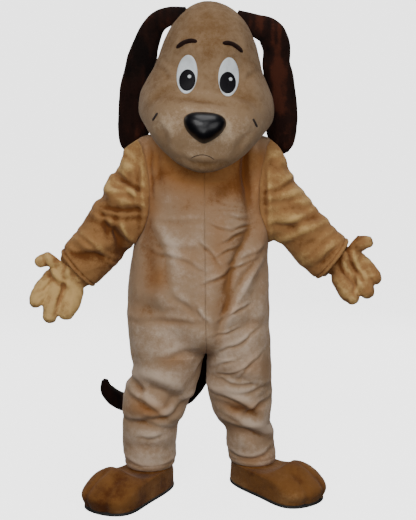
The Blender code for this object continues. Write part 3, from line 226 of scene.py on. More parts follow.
plushLooks = {
    # deep is the colour seen into the pile and the colour of painted shade, pale the colour of its tips and of
    # painted highlights; linear red, green, blue
    "tan": {
        "deep": (0.215, 0.105, 0.040), "mid": (0.350, 0.230, 0.140), "pale": (0.520, 0.395, 0.295),
        "sheen": 0.16,
    },
    "golden": {
        "deep": (0.130, 0.044, 0.010), "mid": (0.300, 0.150, 0.055), "pale": (0.540, 0.345, 0.135),
        "sheen": 0.10,
    },
    "head": {
        "deep": (0.150, 0.078, 0.030), "mid": (0.255, 0.165, 0.092), "pale": (0.480, 0.360, 0.245),
        "sheen": 0.14,
    },
    "brown": {
        "deep": (0.085, 0.024, 0.005), "mid": (0.190, 0.078, 0.020), "pale": (0.320, 0.165, 0.062),
        "sheen": 0.12,
    },
    "dark": {
        "deep": (0.004, 0.0016, 0.0012), "mid": (0.014, 0.0045, 0.0028), "pale": (0.052, 0.0135, 0.0065),
        "sheen": 0.05,
    },
}
pile = {
    # noise of each size: its scale, its roughness and its share in the step from deep to pale
    "crushed": (16.0, 0.55, 0.50),  # patches where the pile was stroked the other way
    "brushed": (60.0, 0.60, 0.42),
    "tufts": (260.0, 0.70, 0.36),
    "hairs": (420.0, 0.80),
    "lowered": 0.64,
    "deepAt": 0.06,
    "paleAt": 0.94,
    "goldenTint": (0.90, 0.60, 0.32, 1),  # multiplied in where the warm attribute is 1; that attribute holds painted shade as well as the pile's golden tint
    "sheenTint": (1.0, 0.86, 0.74, 1),
    "bump": {"Strength": 0.55, "Distance": 0.0022},
}


def newFinish(name, **sockets):  # a material, with the shader's own sockets set by name, _ for a space
    finish = bpy.data.materials.new(name)
    finish.use_nodes = True
    tree = finish.node_tree
    shader = tree.nodes["Principled BSDF"]
    for socket, value in sockets.items():
        shader.inputs[socket.replace("_", " ")].default_value = value
    return finish, tree, shader


def addNode(tree, kind, **settings):  # a name that is an input sets its value, any other sets the node
    node = tree.nodes.new(kind)
    for name, value in settings.items():
        if name in node.inputs:
            node.inputs[name].default_value = value
        else:
            setattr(node, name, value)
    return node


def noiseNode(tree, place, scale, detail, roughness):  # noise read at the object's own coordinates
    node = addNode(tree, "ShaderNodeTexNoise", Scale=scale, Detail=detail, Roughness=roughness)
    tree.links.new(place, node.inputs["Vector"])
    return node.outputs["Fac"]


def mathNode(tree, operation, first, second, third=None):  # numbers are set, sockets are linked
    node = addNode(tree, "ShaderNodeMath", operation=operation)
    for socket, value in zip(node.inputs, (first, second, third)):
        if isinstance(value, (int, float)):
            socket.default_value = value
        elif value is not None:
            tree.links.new(value, socket)
    return node.outputs[0]


def rampNode(tree, level, low, lowColor, high, highColor):  # one colour to the other, between two levels
    ramp = tree.nodes.new("ShaderNodeValToRGB")
    for stop, at, color in zip(ramp.color_ramp.elements, (low, high), (lowColor, highColor)):
        stop.position = at
        stop.color = (*color, 1)
    tree.links.new(level, ramp.inputs["Fac"])
    return ramp


def bumpNode(tree, height, shader, **settings):  # a height that tilts the shader's normal
    bump = addNode(tree, "ShaderNodeBump", **settings)
    tree.links.new(height, bump.inputs["Height"])
    tree.links.new(bump.outputs["Normal"], shader.inputs["Normal"])


def plushFinish(name):
    # the mesh's nap attribute, which holds painted shade and highlight as well as pile tone, plus noise of
    # three sizes picks a colour between deep and pale, then the warm attribute, partly painted shade, tints it
    # golden
    look = plushLooks[name]
    finish, tree, shader = newFinish(
        name + "Plush", Roughness=0.95, Specular_IOR_Level=0.15, Sheen_Weight=look["sheen"],
        Sheen_Roughness=0.45, Sheen_Tint=pile["sheenTint"],
    )
    place = tree.nodes.new("ShaderNodeTexCoord").outputs["Object"]
    level = addNode(tree, "ShaderNodeAttribute", attribute_name="nap").outputs["Fac"]
    noises = {}
    for size in ("crushed", "brushed", "tufts"):
        scale, roughness, share = pile[size]
        noises[size] = noiseNode(tree, place, scale, 3.0, roughness)
        level = mathNode(tree, "MULTIPLY_ADD", noises[size], share, level)
    level = mathNode(tree, "SUBTRACT", level, pile["lowered"])
    ramp = rampNode(tree, level, pile["deepAt"], look["deep"], pile["paleAt"], look["pale"])
    ramp.color_ramp.interpolation = "EASE"
    ramp.color_ramp.elements.new(0.5).color = (*look["mid"], 1)
    warmAndPaintedShade = addNode(tree, "ShaderNodeAttribute", attribute_name="warmAndPaintedShade").outputs["Fac"]
    tint = addNode(tree, "ShaderNodeMix", data_type="RGBA", blend_type="MULTIPLY")
    firstColor, secondColor, mixed = tint.inputs[6], tint.inputs[7], tint.outputs[2]
    tree.links.new(warmAndPaintedShade, tint.inputs["Factor"])
    tree.links.new(ramp.outputs["Color"], firstColor)
    secondColor.default_value = pile["goldenTint"]
    tree.links.new(mixed, shader.inputs["Base Color"])
    scale, roughness = pile["hairs"]
    hairs = noiseNode(tree, place, scale, 2.0, roughness)
    bumpNode(tree, mathNode(tree, "MULTIPLY_ADD", noises["brushed"], 1.6, hairs), shader, **pile["bump"])
    return finish


def plainFinish(name, color, roughness, metallic=0.0, coat=0.0, grain=0.0, grainScale=300.0, shine=0.5):
    # worn patches are darker and smoother, and a fine grain raises the surface
    finish, tree, shader = newFinish(
        name, Metallic=metallic, Specular_IOR_Level=shine, Coat_Weight=coat, Coat_Roughness=0.12,
    )
    place = tree.nodes.new("ShaderNodeTexCoord").outputs["Object"]
    wear = noiseNode(tree, place, 35.0, 3.0, 0.6)
    ramp = rampNode(tree, wear, 0.3, tuple(0.82 * value for value in color), 0.7, color)
    tree.links.new(ramp.outputs["Color"], shader.inputs["Base Color"])
    rough = mathNode(tree, "MULTIPLY_ADD", wear, 0.12, roughness - 0.06)
    tree.links.new(rough, shader.inputs["Roughness"])
    if grain:
        bumpNode(tree, noiseNode(tree, place, grainScale, 3.0, 0.6), shader, Strength=grain, Distance=0.0006)
    return finish


finishes = {name + "Plush": plushFinish(name) for name in plushLooks}
finishes["felt"] = plainFinish("whiteFelt", (0.66, 0.70, 0.72), 0.55, grain=0.35, grainScale=700.0)
finishes["gloss"] = plainFinish("glossBlack", (0.004, 0.004, 0.006), 0.36, coat=0.10, shine=0.36)
finishes["pupil"] = plainFinish("pupilBlack", (0.005, 0.004, 0.006), 0.50, shine=0.12)
finishes["rubber"] = plainFinish("soleRubber", (0.018, 0.018, 0.018), 0.75, grain=0.5, grainScale=220.0)
finishes["tape"] = plainFinish("zipTape", (0.16, 0.085, 0.04), 0.85, grain=0.6, grainScale=900.0)
finishes["metal"] = plainFinish(
    "zipMetal", (0.52, 0.43, 0.28), 0.32, metallic=1.0, grain=0.2, grainScale=500.0,
)
finishes["thread"] = plainFinish("darkThread", (0.020, 0.009, 0.006), 0.80, grain=0.4, grainScale=900.0)
print("finishes made")


# The suit

suit = {
    "crotch": 0.546,
    "crotchRise": 0.105,
    "thighRise": 0.260,
    "hem": 0.098,
    "shoulder": 1.357,
    "underarm": 0.965,
    "armholeSpread": math.radians(37),
    "rows": {"neck": 20, "armhole": 92, "waist": 66, "rise": 34, "leg": 104},
    "columns": {"front": 74, "back": 60},
    "seamWidth": 0.0060,
    "seamDepth": 0.0017,
    "seamRadius": 0.16,  # from the body's middle to a middle seam, which makes its gap a turn
    "lumps": ((0.045, 0.0016), (0.018, 0.0007)),
    "creasePaintedLight": 28,  # painted shade and highlight: how much darker the pile is drawn for each metre that a crease or fold goes in, and paler where it stands out
    "toneOfFold": 14,
}
legColumns = "height innerX outerX middleY halfDepth"
torso = table(
    "height rightReach leftReach front back middleX",
    (1.437, 0.104, 0.104, 0.076, 0.096, 0.000),
    (1.403, 0.105, 0.105, 0.077, 0.097, 0.000),
    (1.380, 0.150, 0.150, 0.084, 0.105, 0.001),
    (1.357, 0.238, 0.238, 0.092, 0.112, 0.003),
    (1.320, 0.248, 0.246, 0.106, 0.124, 0.003),
    (1.250, 0.252, 0.248, 0.126, 0.138, 0.003),
    (1.150, 0.253, 0.248, 0.150, 0.148, 0.004),
    (1.050, 0.254, 0.246, 0.166, 0.152, 0.005),
    (0.960, 0.269, 0.237, 0.176, 0.153, 0.006),
    (0.880, 0.283, 0.235, 0.183, 0.155, 0.007),
    (0.780, 0.294, 0.236, 0.187, 0.160, 0.008),
    (0.680, 0.305, 0.241, 0.186, 0.166, 0.009),
    (0.610, 0.307, 0.243, 0.180, 0.168, 0.010),
    (0.546, 0.297, 0.243, 0.170, 0.165, 0.010),
)
legs = {
    "right": table(
        legColumns,
        (0.546, 0.0097, -0.287, 0.000, 0.150),
        (0.514, 0.005, -0.276, 0.000, 0.138),
        (0.483, -0.005, -0.267, 0.001, 0.130),
        (0.451, -0.014, -0.276, 0.002, 0.126),
        (0.420, -0.025, -0.298, 0.003, 0.126),
        (0.380, -0.039, -0.308, 0.006, 0.125),
        (0.326, -0.066, -0.311, 0.011, 0.120),
        (0.263, -0.096, -0.314, 0.016, 0.112),
        (0.199, -0.105, -0.315, 0.020, 0.106),
        (0.135, -0.107, -0.310, 0.023, 0.101),
        (0.098, -0.113, -0.305, 0.024, 0.096),
    ),
    "left": table(
        legColumns,
        (0.546, 0.0103, 0.252, 0.000, 0.150),
        (0.483, 0.011, 0.260, 0.008, 0.132),
        (0.420, 0.012, 0.265, 0.018, 0.126),
        (0.357, 0.022, 0.266, 0.030, 0.121),
        (0.294, 0.040, 0.258, 0.043, 0.113),
        (0.263, 0.057, 0.259, 0.049, 0.109),
        (0.231, 0.083, 0.270, 0.055, 0.105),
        (0.167, 0.090, 0.281, 0.066, 0.100),
        (0.120, 0.096, 0.286, 0.073, 0.096),
        (0.098, 0.100, 0.286, 0.075, 0.094),
    ),
}
foldColumns = "x0 height0 x1 height1 bow width depth ridge"
frontFolds = table(
    foldColumns,
    (0.172, 1.335, 0.168, 1.090, -0.006, 0.026, 0.026, 0.010),
    (-0.190, 1.345, -0.172, 1.220, 0.006, 0.024, 0.016, 0.008),
    (0.205, 1.080, 0.105, 0.740, -0.022, 0.032, 0.017, 0.011),
    (0.225, 0.900, 0.150, 0.690, -0.015, 0.030, 0.013, 0.008),
    (0.090, 0.870, 0.016, 0.590, 0.012, 0.034, 0.014, 0.012),
    (-0.226, 1.040, -0.205, 0.800, 0.012, 0.040, 0.013, 0.006),
    (-0.250, 0.735, -0.120, 0.700, 0.010, 0.034, 0.010, 0.006),
    (-0.180, 1.105, 0.020, 1.130, -0.016, 0.040, 0.008, 0.005),
    (0.070, 0.650, 0.200, 0.665, 0.012, 0.028, 0.009, 0.006),
    (-0.300, 0.425, -0.070, 0.350, 0.040, 0.028, 0.024, 0.016),
    (-0.050, 0.440, -0.190, 0.320, 0.020, 0.032, 0.014, 0.009),
    (-0.300, 0.290, -0.130, 0.265, 0.018, 0.026, 0.013, 0.009),
    (-0.290, 0.190, -0.150, 0.185, 0.010, 0.024, 0.007, 0.005),
    (0.070, 0.260, 0.270, 0.165, 0.020, 0.026, 0.019, 0.012),
    (0.030, 0.370, 0.210, 0.265, 0.020, 0.026, 0.013, 0.010),
    (0.255, 0.400, 0.130, 0.310, 0.015, 0.028, 0.012, 0.008),
    (0.040, 0.475, 0.200, 0.430, 0.012, 0.026, 0.009, 0.006),
)
backFolds = table(
    foldColumns,
    (-0.170, 1.320, -0.180, 1.130, 0.008, 0.034, 0.014, 0.008),
    (0.170, 1.320, 0.176, 1.120, -0.008, 0.034, 0.014, 0.008),
    (-0.200, 0.990, -0.030, 0.900, 0.020, 0.040, 0.011, 0.008),
    (0.200, 0.960, 0.040, 0.860, -0.020, 0.040, 0.011, 0.008),
    (-0.240, 0.640, -0.060, 0.570, 0.030, 0.036, 0.015, 0.011),
    (0.220, 0.640, 0.060, 0.565, -0.030, 0.036, 0.015, 0.011),
    (-0.290, 0.430, -0.080, 0.360, 0.030, 0.032, 0.019, 0.012),
    (-0.290, 0.300, -0.130, 0.250, 0.020, 0.030, 0.014, 0.009),
    (0.250, 0.430, 0.040, 0.350, -0.030, 0.032, 0.019, 0.012),
    (0.255, 0.290, 0.080, 0.240, -0.020, 0.030, 0.014, 0.009),
)
# Short sharp creases on top of the folds
frontCreases = table(
    foldColumns,
    (-0.003, 0.962, 0.046, 0.904, 0.006, 0.006, 0.0060, 0.0040),
    (0.093, 1.071, 0.158, 1.061, -0.006, 0.006, 0.0050, 0.0030),
    (0.091, 0.982, 0.154, 1.009, 0.006, 0.006, 0.0060, 0.0030),
    (0.021, 0.835, 0.111, 0.880, -0.006, 0.007, 0.0060, 0.0040),
    (-0.146, 1.048, -0.031, 1.052, -0.004, 0.010, 0.0030, 0.0020),
    (-0.160, 0.927, -0.018, 0.880, 0.012, 0.009, 0.0035, 0.0025),
    (-0.134, 0.958, -0.014, 0.953, -0.004, 0.012, 0.0025, 0.0015),
    (-0.194, 1.018, -0.135, 0.845, 0.020, 0.020, 0.0050, 0.0035),
    (0.150, 0.971, 0.090, 0.832, -0.010, 0.012, 0.0070, 0.0050),
    (0.197, 0.914, 0.099, 0.758, -0.010, 0.012, 0.0070, 0.0055),
    (0.098, 0.828, 0.064, 0.670, 0.004, 0.012, 0.0060, 0.0050),
    (-0.027, 0.745, 0.008, 0.696, -0.006, 0.008, 0.0050, 0.0035),
    (0.060, 1.120, 0.120, 1.105, -0.006, 0.005, 0.0045, 0.0030),
    (0.050, 1.090, 0.130, 1.085, 0.005, 0.005, 0.0045, 0.0030),
    (0.030, 1.040, 0.090, 1.020, -0.005, 0.005, 0.0045, 0.0030),
    (0.110, 1.020, 0.170, 1.035, 0.004, 0.005, 0.0050, 0.0035),
    (0.060, 0.930, 0.120, 0.955, 0.005, 0.005, 0.0045, 0.0030),
    (0.100, 0.880, 0.170, 0.905, -0.004, 0.006, 0.0045, 0.0035),
    (0.080, 0.700, 0.150, 0.740, 0.006, 0.006, 0.0045, 0.0035),
    (0.060, 0.640, 0.120, 0.660, -0.004, 0.005, 0.0040, 0.0030),
    (-0.100, 0.770, -0.020, 0.700, 0.010, 0.012, 0.0045, 0.0030),
    (-0.240, 0.679, -0.049, 0.683, 0.006, 0.012, 0.0035, 0.0025),
    (0.115, 0.906, 0.201, 0.936, -0.004, 0.010, 0.0040, 0.0030),
    (0.163, 1.325, 0.166, 1.168, -0.014, 0.013, 0.0130, 0.0080),
    (-0.197, 1.300, -0.188, 1.180, -0.004, 0.010, 0.0060, 0.0040),
    (-0.186, 1.176, -0.127, 1.235, 0.010, 0.020, 0.0045, 0.0030),
    (-0.029, 1.118, 0.107, 1.186, -0.020, 0.030, 0.0040, 0.0030),
    (0.090, 0.590, 0.173, 0.638, -0.012, 0.007, 0.0060, 0.0035),
    (0.061, 0.482, 0.144, 0.509, -0.010, 0.006, 0.0040, 0.0030),
    (0.067, 0.461, 0.174, 0.443, -0.012, 0.007, 0.0040, 0.0035),
    (0.049, 0.509, 0.114, 0.539, 0.006, 0.006, 0.0035, 0.0025),
    (0.138, 0.473, 0.203, 0.545, 0.010, 0.007, 0.0035, 0.0025),
    (0.091, 0.412, 0.215, 0.424, -0.012, 0.009, 0.0045, 0.0035),
    (0.046, 0.394, 0.174, 0.333, 0.016, 0.012, 0.0065, 0.0050),
    (0.163, 0.315, 0.246, 0.364, 0.010, 0.010, 0.0065, 0.0050),
    (0.103, 0.297, 0.253, 0.205, 0.006, 0.014, 0.0080, 0.0060),
    (0.109, 0.266, 0.205, 0.229, 0.006, 0.010, 0.0045, 0.0035),
    (0.103, 0.143, 0.265, 0.158, -0.020, 0.010, 0.0050, 0.0035),
    (-0.283, 0.394, -0.153, 0.315, 0.010, 0.014, 0.0080, 0.0065),
    (-0.207, 0.309, -0.064, 0.364, -0.020, 0.012, 0.0080, 0.0055),
    (-0.290, 0.290, -0.159, 0.266, 0.010, 0.012, 0.0055, 0.0045),
    (-0.231, 0.235, -0.160, 0.241, -0.006, 0.010, 0.0045, 0.0030),
    (-0.286, 0.130, -0.112, 0.118, -0.020, 0.010, 0.0050, 0.0035),
    (-0.277, 0.455, -0.230, 0.400, 0.010, 0.012, 0.0070, 0.0045),
    (-0.122, 0.545, -0.039, 0.569, 0.010, 0.014, 0.0035, 0.0025),
    (-0.022, 0.473, 0.014, 0.533, 0.004, 0.008, 0.0050, 0.0030),
)
backCreases = table(
    foldColumns,
    (-0.150, 1.060, -0.040, 1.020, 0.012, 0.012, 0.0050, 0.0040),
    (0.150, 1.030, 0.050, 0.990, -0.010, 0.010, 0.0045, 0.0035),
    (-0.200, 0.840, -0.070, 0.780, 0.014, 0.012, 0.0050, 0.0040),
    (0.190, 0.800, 0.060, 0.740, -0.012, 0.012, 0.0050, 0.0040),
    (-0.120, 0.700, -0.030, 0.665, 0.010, 0.009, 0.0040, 0.0030),
    (0.150, 0.690, 0.050, 0.650, -0.010, 0.010, 0.0045, 0.0030),
    (-0.250, 0.500, -0.110, 0.455, 0.014, 0.012, 0.0055, 0.0045),
    (0.220, 0.500, 0.060, 0.440, -0.014, 0.012, 0.0055, 0.0045),
    (-0.270, 0.350, -0.150, 0.310, 0.012, 0.010, 0.0060, 0.0045),
    (0.230, 0.350, 0.090, 0.300, -0.012, 0.010, 0.0060, 0.0045),
    (-0.280, 0.220, -0.140, 0.190, 0.012, 0.010, 0.0045, 0.0035),
    (0.260, 0.210, 0.130, 0.180, -0.012, 0.010, 0.0045, 0.0035),
)
patchColumns = "x height wide high shift"
# patches where the pile is drawn darker (-) or paler (+): painted shade in the folds, at the crotch, beside
# the armholes and in the knee folds, painted highlight on the raised edges beside the armholes, and some of
# the pile's own tone
frontToneAndPaintedLight = table(
    patchColumns,
    (0.020, 1.240, 0.230, 0.080, -0.22),
    (0.100, 1.150, 0.070, 0.070, -0.10),
    (0.130, 0.960, 0.070, 0.100, -0.14),
    (0.158, 1.230, 0.030, 0.120, -0.26),
    (-0.080, 1.162, 0.080, 0.016, -0.18),
    (0.060, 1.168, 0.060, 0.020, -0.12),
    (-0.206, 1.250, 0.013, 0.110, 0.30),
    (0.190, 1.270, 0.014, 0.090, 0.26),
    (-0.160, 0.835, 0.065, 0.060, -0.10),
    (-0.190, 1.000, 0.035, 0.110, -0.08),
    (0.090, 0.800, 0.040, 0.080, -0.14),
    (-0.200, 0.710, 0.050, 0.030, -0.22),
    (-0.135, 0.530, 0.060, 0.030, -0.26),
    (0.004, 0.540, 0.020, 0.060, -0.45),
    (0.232, 0.500, 0.020, 0.070, -0.32),
    (-0.230, 0.345, 0.060, 0.028, -0.34),
    (-0.110, 0.310, 0.060, 0.018, -0.20),
    (0.130, 0.345, 0.050, 0.026, -0.36),
    (0.200, 0.320, 0.035, 0.028, -0.30),
    (0.000, 0.930, 0.150, 0.200, 0.10),
    (-0.180, 0.180, 0.120, 0.060, 0.08),
    (0.180, 0.450, 0.060, 0.060, 0.06),
)
frontWarmAndPaintedShade = table(  # where the pile is tinted from tan to golden: the pile's own golden chest, and painted shade beside the armholes, at the crotch and in the knee and ankle folds
    patchColumns,
    (0.000, 1.250, 0.270, 0.110, 1.40),
    (-0.205, 1.100, 0.040, 0.120, 0.70),
    (0.205, 1.100, 0.040, 0.120, 0.60),
    (-0.170, 0.850, 0.045, 0.050, 0.75),
    (-0.185, 0.970, 0.030, 0.080, 0.35),
    (0.080, 0.790, 0.045, 0.080, 0.30),
    (0.030, 0.960, 0.120, 0.140, 0.22),
    (-0.110, 0.690, 0.100, 0.025, 0.35),
    (-0.210, 0.345, 0.090, 0.030, 0.70),
    (-0.110, 0.540, 0.060, 0.030, 0.35),
    (0.010, 0.560, 0.020, 0.040, 0.50),
    (0.150, 0.350, 0.080, 0.030, 0.70),
    (0.200, 0.520, 0.040, 0.050, 0.30),
    (0.130, 0.250, 0.060, 0.020, 0.35),
    (-0.180, 0.115, 0.100, 0.020, 0.30),
    (0.190, 0.125, 0.090, 0.020, 0.35),
)
# the golden tint on the back: the pile's own golden shoulders, and painted shade beside the armholes, in the
# folds, at the crotch and in the knee folds
backWarmAndPaintedShade = table(
    patchColumns,
    (0.000, 1.270, 0.260, 0.110, 0.80),
    (-0.205, 1.100, 0.040, 0.120, 0.60),
    (0.205, 1.100, 0.040, 0.120, 0.60),
    (-0.140, 0.860, 0.060, 0.050, 0.45),
    (0.160, 0.800, 0.050, 0.060, 0.40),
    (0.000, 0.560, 0.040, 0.050, 0.50),
    (-0.200, 0.340, 0.080, 0.030, 0.50),
    (0.150, 0.330, 0.080, 0.030, 0.50),
)
# patches where the pile is drawn darker (-) or paler (+): painted shade in the back's folds, over the seat and
# at the crotch, and a paler middle
backToneAndPaintedShade = table(
    patchColumns,
    (-0.100, 1.200, 0.120, 0.080, -0.26),
    (0.120, 1.160, 0.100, 0.090, -0.22),
    (-0.140, 0.860, 0.060, 0.050, -0.24),
    (0.160, 0.800, 0.050, 0.060, -0.28),
    (0.000, 0.560, 0.030, 0.050, -0.40),
    (-0.200, 0.340, 0.080, 0.030, -0.28),
    (0.150, 0.330, 0.080, 0.030, -0.28),
    (0.000, 0.980, 0.140, 0.120, 0.08),
)


def suitForm(side, turn, height):
    # half an oval above the crotch, a whole turn round the leg below it, and a mix of the two between
    sign = sides[side]
    turn, height = np.broadcast_arrays(np.asarray(turn, float), np.asarray(height, float))
    body = {name: curveThrough(torso["height"], torso[name], height) for name in torso}
    depth = np.where(np.cos(turn) > 0, body["front"], body["back"])
    torsoX = body["middleX"] + sign * body[side + "Reach"] * np.sin(turn)
    torsoY = -depth * np.cos(turn)
    top = legs[side]["height"].max()
    below = top - height
    legAt = top - 0.5 * (below + np.hypot(below, 0.05))  # eased off above the table's top, so no line shows
    leg = {name: curveThrough(legs[side]["height"], legs[side][name], legAt) for name in legs[side]}
    half = 0.5 * (leg["outerX"] - leg["innerX"])
    legX = 0.5 * (leg["outerX"] + leg["innerX"]) - half * np.cos(2 * turn)
    legY = leg["middleY"] - leg["halfDepth"] * np.sin(2 * turn)
    fallen = np.clip((suit["crotch"] + suit["crotchRise"] - height) / suit["crotchRise"], 0, 1)
    eased = smooth((suit["crotch"] + suit["thighRise"] - height) / suit["thighRise"])
    nearMiddle = np.abs(np.cos(turn)) ** 7  # the legs part first at the middle seams
    share = nearMiddle * (1 - np.sqrt(1 - fallen**2)) + (1 - nearMiddle) * eased
    x = torsoX + (legX - torsoX) * share
    y = torsoY + (legY - torsoY) * share
    return np.stack((x, y, height - neckHeight), axis=-1)


def suitSurface(side, turn, height):
    # the form moved out along its own direction by the folds and creases of the side it faces
    turn, height = np.broadcast_arrays(np.asarray(turn, float), np.asarray(height, float))
    plain = suitForm(side, turn, height)  # two near points each way give its outward direction
    roundIt = suitForm(side, turn + 0.02, height) - suitForm(side, turn - 0.02, height)
    upIt = suitForm(side, turn, height + 0.004) - suitForm(side, turn, height - 0.004)
    out = unit(sides[side] * np.cross(roundIt, upIt))
    front, x = frontShare(out), plain[..., 0]
    moved = front * foldDepth(frontFolds, x, height) + (1 - front) * foldDepth(backFolds, x, height)
    calm = np.clip((suit["shoulder"] - height) / 0.05, 0, 1) * np.clip((height - suit["hem"]) / 0.04, 0, 1)
    nearSeam = np.minimum(np.abs(np.sin(turn)), 1) ** 0.5
    low = np.clip((suit["crotch"] + 0.05 - height) / 0.08, 0, 1)
    moved *= calm * (nearSeam * (1 - low) + np.abs(np.sin(2 * turn)) ** 0.5 * low)
    tone = front * toneAt(frontToneAndPaintedLight, x, height) + (1 - front) * toneAt(backToneAndPaintedShade, x, height)
    creases = 1.2 * front * foldDepth(frontCreases, x, height)
    creases += (1 - front) * foldDepth(backCreases, x, height)
    moved = moved + creases * calm
    moved = moved + lumpy(plain, 3, *suit["lumps"]) * calm
    # painted shade and highlight: creases and folds are drawn darker where they go in and paler where they
    # stand out
    tone = tone + creases * suit["creasePaintedLight"] + moved * suit["toneOfFold"]
    return plain + out * moved[..., None], out, tone


def armholeTurns(rows, scale=1.0):
    # heights down the armhole's oval, and how far its edge stands off the side seam as a turn
    angle = np.linspace(0, halfTurn, rows)
    middle = 0.5 * (suit["shoulder"] + suit["underarm"])
    half = 0.5 * (suit["shoulder"] - suit["underarm"])
    return middle + scale * half * np.cos(angle), scale * suit["armholeSpread"] * np.sin(angle)


def suitRows():  # heights from the neck edge to the hem, with the armhole's spread at each
    count = suit["rows"]
    neck = np.linspace(1.437, suit["shoulder"], count["neck"], endpoint=False)
    armHeights, armSpreads = armholeTurns(count["armhole"])
    low = suit["crotch"] + suit["crotchRise"]
    waist = np.linspace(suit["underarm"], low, count["waist"] + 1)[1:]
    fallen = np.sin(np.linspace(0, halfTurn / 2, count["rise"] + 1))[1:]
    rise = low - suit["crotchRise"] * fallen
    leg = np.linspace(suit["crotch"], suit["hem"], count["leg"] + 1)[1:]
    heights = np.concatenate((neck, armHeights, waist, rise, leg))
    spreads = np.zeros(len(heights))
    spreads[len(neck) : len(neck) + len(armHeights)] = armSpreads
    return heights, spreads


def seamGroove(points):
    # how far each point is drawn in by the stitches: a bell round the grid's first and last columns
    steps = np.linalg.norm(np.diff(points, axis=1), axis=-1)
    run = np.concatenate((np.zeros((len(points), 1)), np.cumsum(steps, axis=1)), axis=1)
    away = np.minimum(run, run[:, -1:] - run)
    return suit["seamDepth"] * bell(away, suit["seamWidth"])


def bodyPanel(side, part):
    # the surface from the middle seam to the side seam or the armhole's edge, drawn in at seams and hem
    heights, spreads = suitRows()
    seamTurn = cloth["halfSeam"] / suit["seamRadius"]
    share = np.linspace(0, 1, suit["columns"][part])[None, :]
    ahead = 1 if part == "front" else -1
    middle = seamTurn if part == "front" else halfTurn - seamTurn
    edge = halfTurn / 2 - ahead * np.maximum(spreads, seamTurn)[:, None]
    turns = middle + (edge - middle) * share
    outer, out, tone = suitSurface(side, turns, heights[:, None])
    groove = seamGroove(outer) * (0.3 + 0.5 * share)
    hemRoll = bell(heights - suit["hem"] - 0.022, 0.0035)[:, None] * 0.002  # the hem's line of stitches
    tuck = bell(heights - suit["hem"], 0.006)[:, None] * 0.0045
    outer = outer - out * (groove + hemRoll + tuck)[..., None]
    # painted light: tone adds painted shade and highlight from folds and creases, the seam grooves and the
    # hem's stitch line are drawn darker as painted shade, and the legs below the waist are paler
    nap = 0.52 + tone + 0.20 * smooth((0.80 - heights[:, None]) / 0.20) - groove * 30 - hemRoll * 60
    name = part + "_" + side
    patches = {"front": frontWarmAndPaintedShade, "back": backWarmAndPaintedShade}[part]
    warmAndPaintedShade = toneAt(patches, outer[..., 0], heights[:, None]) + 0.25 * lumps(outer, 0.06, 5)
    warmAndPaintedShade = np.clip(warmAndPaintedShade, 0, 1)
    mesh = wall("plush_" + name, outer, outer - out * cloth["plush"], nap, warmAndPaintedShade=warmAndPaintedShade)
    piece = dress(mesh, finishes["tanPlush"], "tan_plush", name)
    area = areaOf(outer)
    return area


for side in sides:
    for part in ("front", "back"):
        print("suit", part, side, "area", round(bodyPanel(side, part), 3))


# The sleeves

sleeveColumns = "along topX topHeight underX underHeight middleY halfDepth"
sleeves = {
    "right": table(
        sleeveColumns,
        (0.00, -0.238, 1.357, -0.262, 0.965, 0.010, 0.085),
        (0.12, -0.290, 1.318, -0.268, 0.955, 0.008, 0.098),
        (0.24, -0.314, 1.252, -0.277, 0.944, 0.005, 0.100),
        (0.34, -0.354, 1.214, -0.288, 0.930, 0.000, 0.098),
        (0.44, -0.375, 1.150, -0.300, 0.914, -0.005, 0.095),
        (0.54, -0.410, 1.111, -0.316, 0.893, -0.012, 0.092),
        (0.64, -0.438, 1.060, -0.336, 0.872, -0.022, 0.088),
        (0.76, -0.475, 1.001, -0.364, 0.848, -0.035, 0.083),
        (0.88, -0.510, 0.969, -0.388, 0.824, -0.047, 0.077),
        (1.00, -0.529, 0.934, -0.409, 0.804, -0.056, 0.072),
    ),
    "left": table(
        sleeveColumns,
        (0.00, 0.238, 1.357, 0.238, 0.965, 0.010, 0.085),
        (0.12, 0.282, 1.316, 0.256, 0.972, 0.008, 0.098),
        (0.24, 0.311, 1.250, 0.270, 0.970, 0.005, 0.100),
        (0.34, 0.340, 1.198, 0.284, 0.962, 0.000, 0.098),
        (0.44, 0.372, 1.154, 0.303, 0.947, -0.005, 0.095),
        (0.54, 0.404, 1.110, 0.325, 0.925, -0.012, 0.092),
        (0.64, 0.443, 1.070, 0.349, 0.898, -0.022, 0.088),
        (0.76, 0.480, 1.034, 0.376, 0.870, -0.035, 0.083),
        (0.88, 0.512, 1.002, 0.401, 0.847, -0.047, 0.077),
        (1.00, 0.538, 0.978, 0.426, 0.833, -0.056, 0.072),
    ),
}
sleeveFolds = {
    "right": table(
        foldColumns,
        (-0.305, 1.215, -0.222, 1.170, 0.008, 0.026, 0.018, 0.011),
        (-0.372, 1.130, -0.240, 1.095, -0.014, 0.022, 0.017, 0.013),
        (-0.345, 1.045, -0.300, 0.945, 0.006, 0.024, 0.016, 0.011),
        (-0.480, 0.955, -0.350, 0.930, -0.018, 0.024, 0.015, 0.010),
        (-0.255, 1.330, -0.225, 1.260, 0.004, 0.020, 0.009, 0.007),
    ),
    "left": table(
        foldColumns,
        (0.235, 1.262, 0.300, 1.230, -0.004, 0.020, 0.013, 0.008),
        (0.240, 1.190, 0.330, 1.180, -0.004, 0.022, 0.012, 0.009),
        (0.275, 1.130, 0.390, 1.075, 0.010, 0.024, 0.012, 0.008),
        (0.275, 1.030, 0.350, 1.000, 0.010, 0.022, 0.010, 0.007),
        (0.350, 0.960, 0.460, 1.010, -0.010, 0.024, 0.012, 0.008),
        (0.400, 0.880, 0.480, 0.955, -0.006, 0.020, 0.010, 0.008),
    ),
}
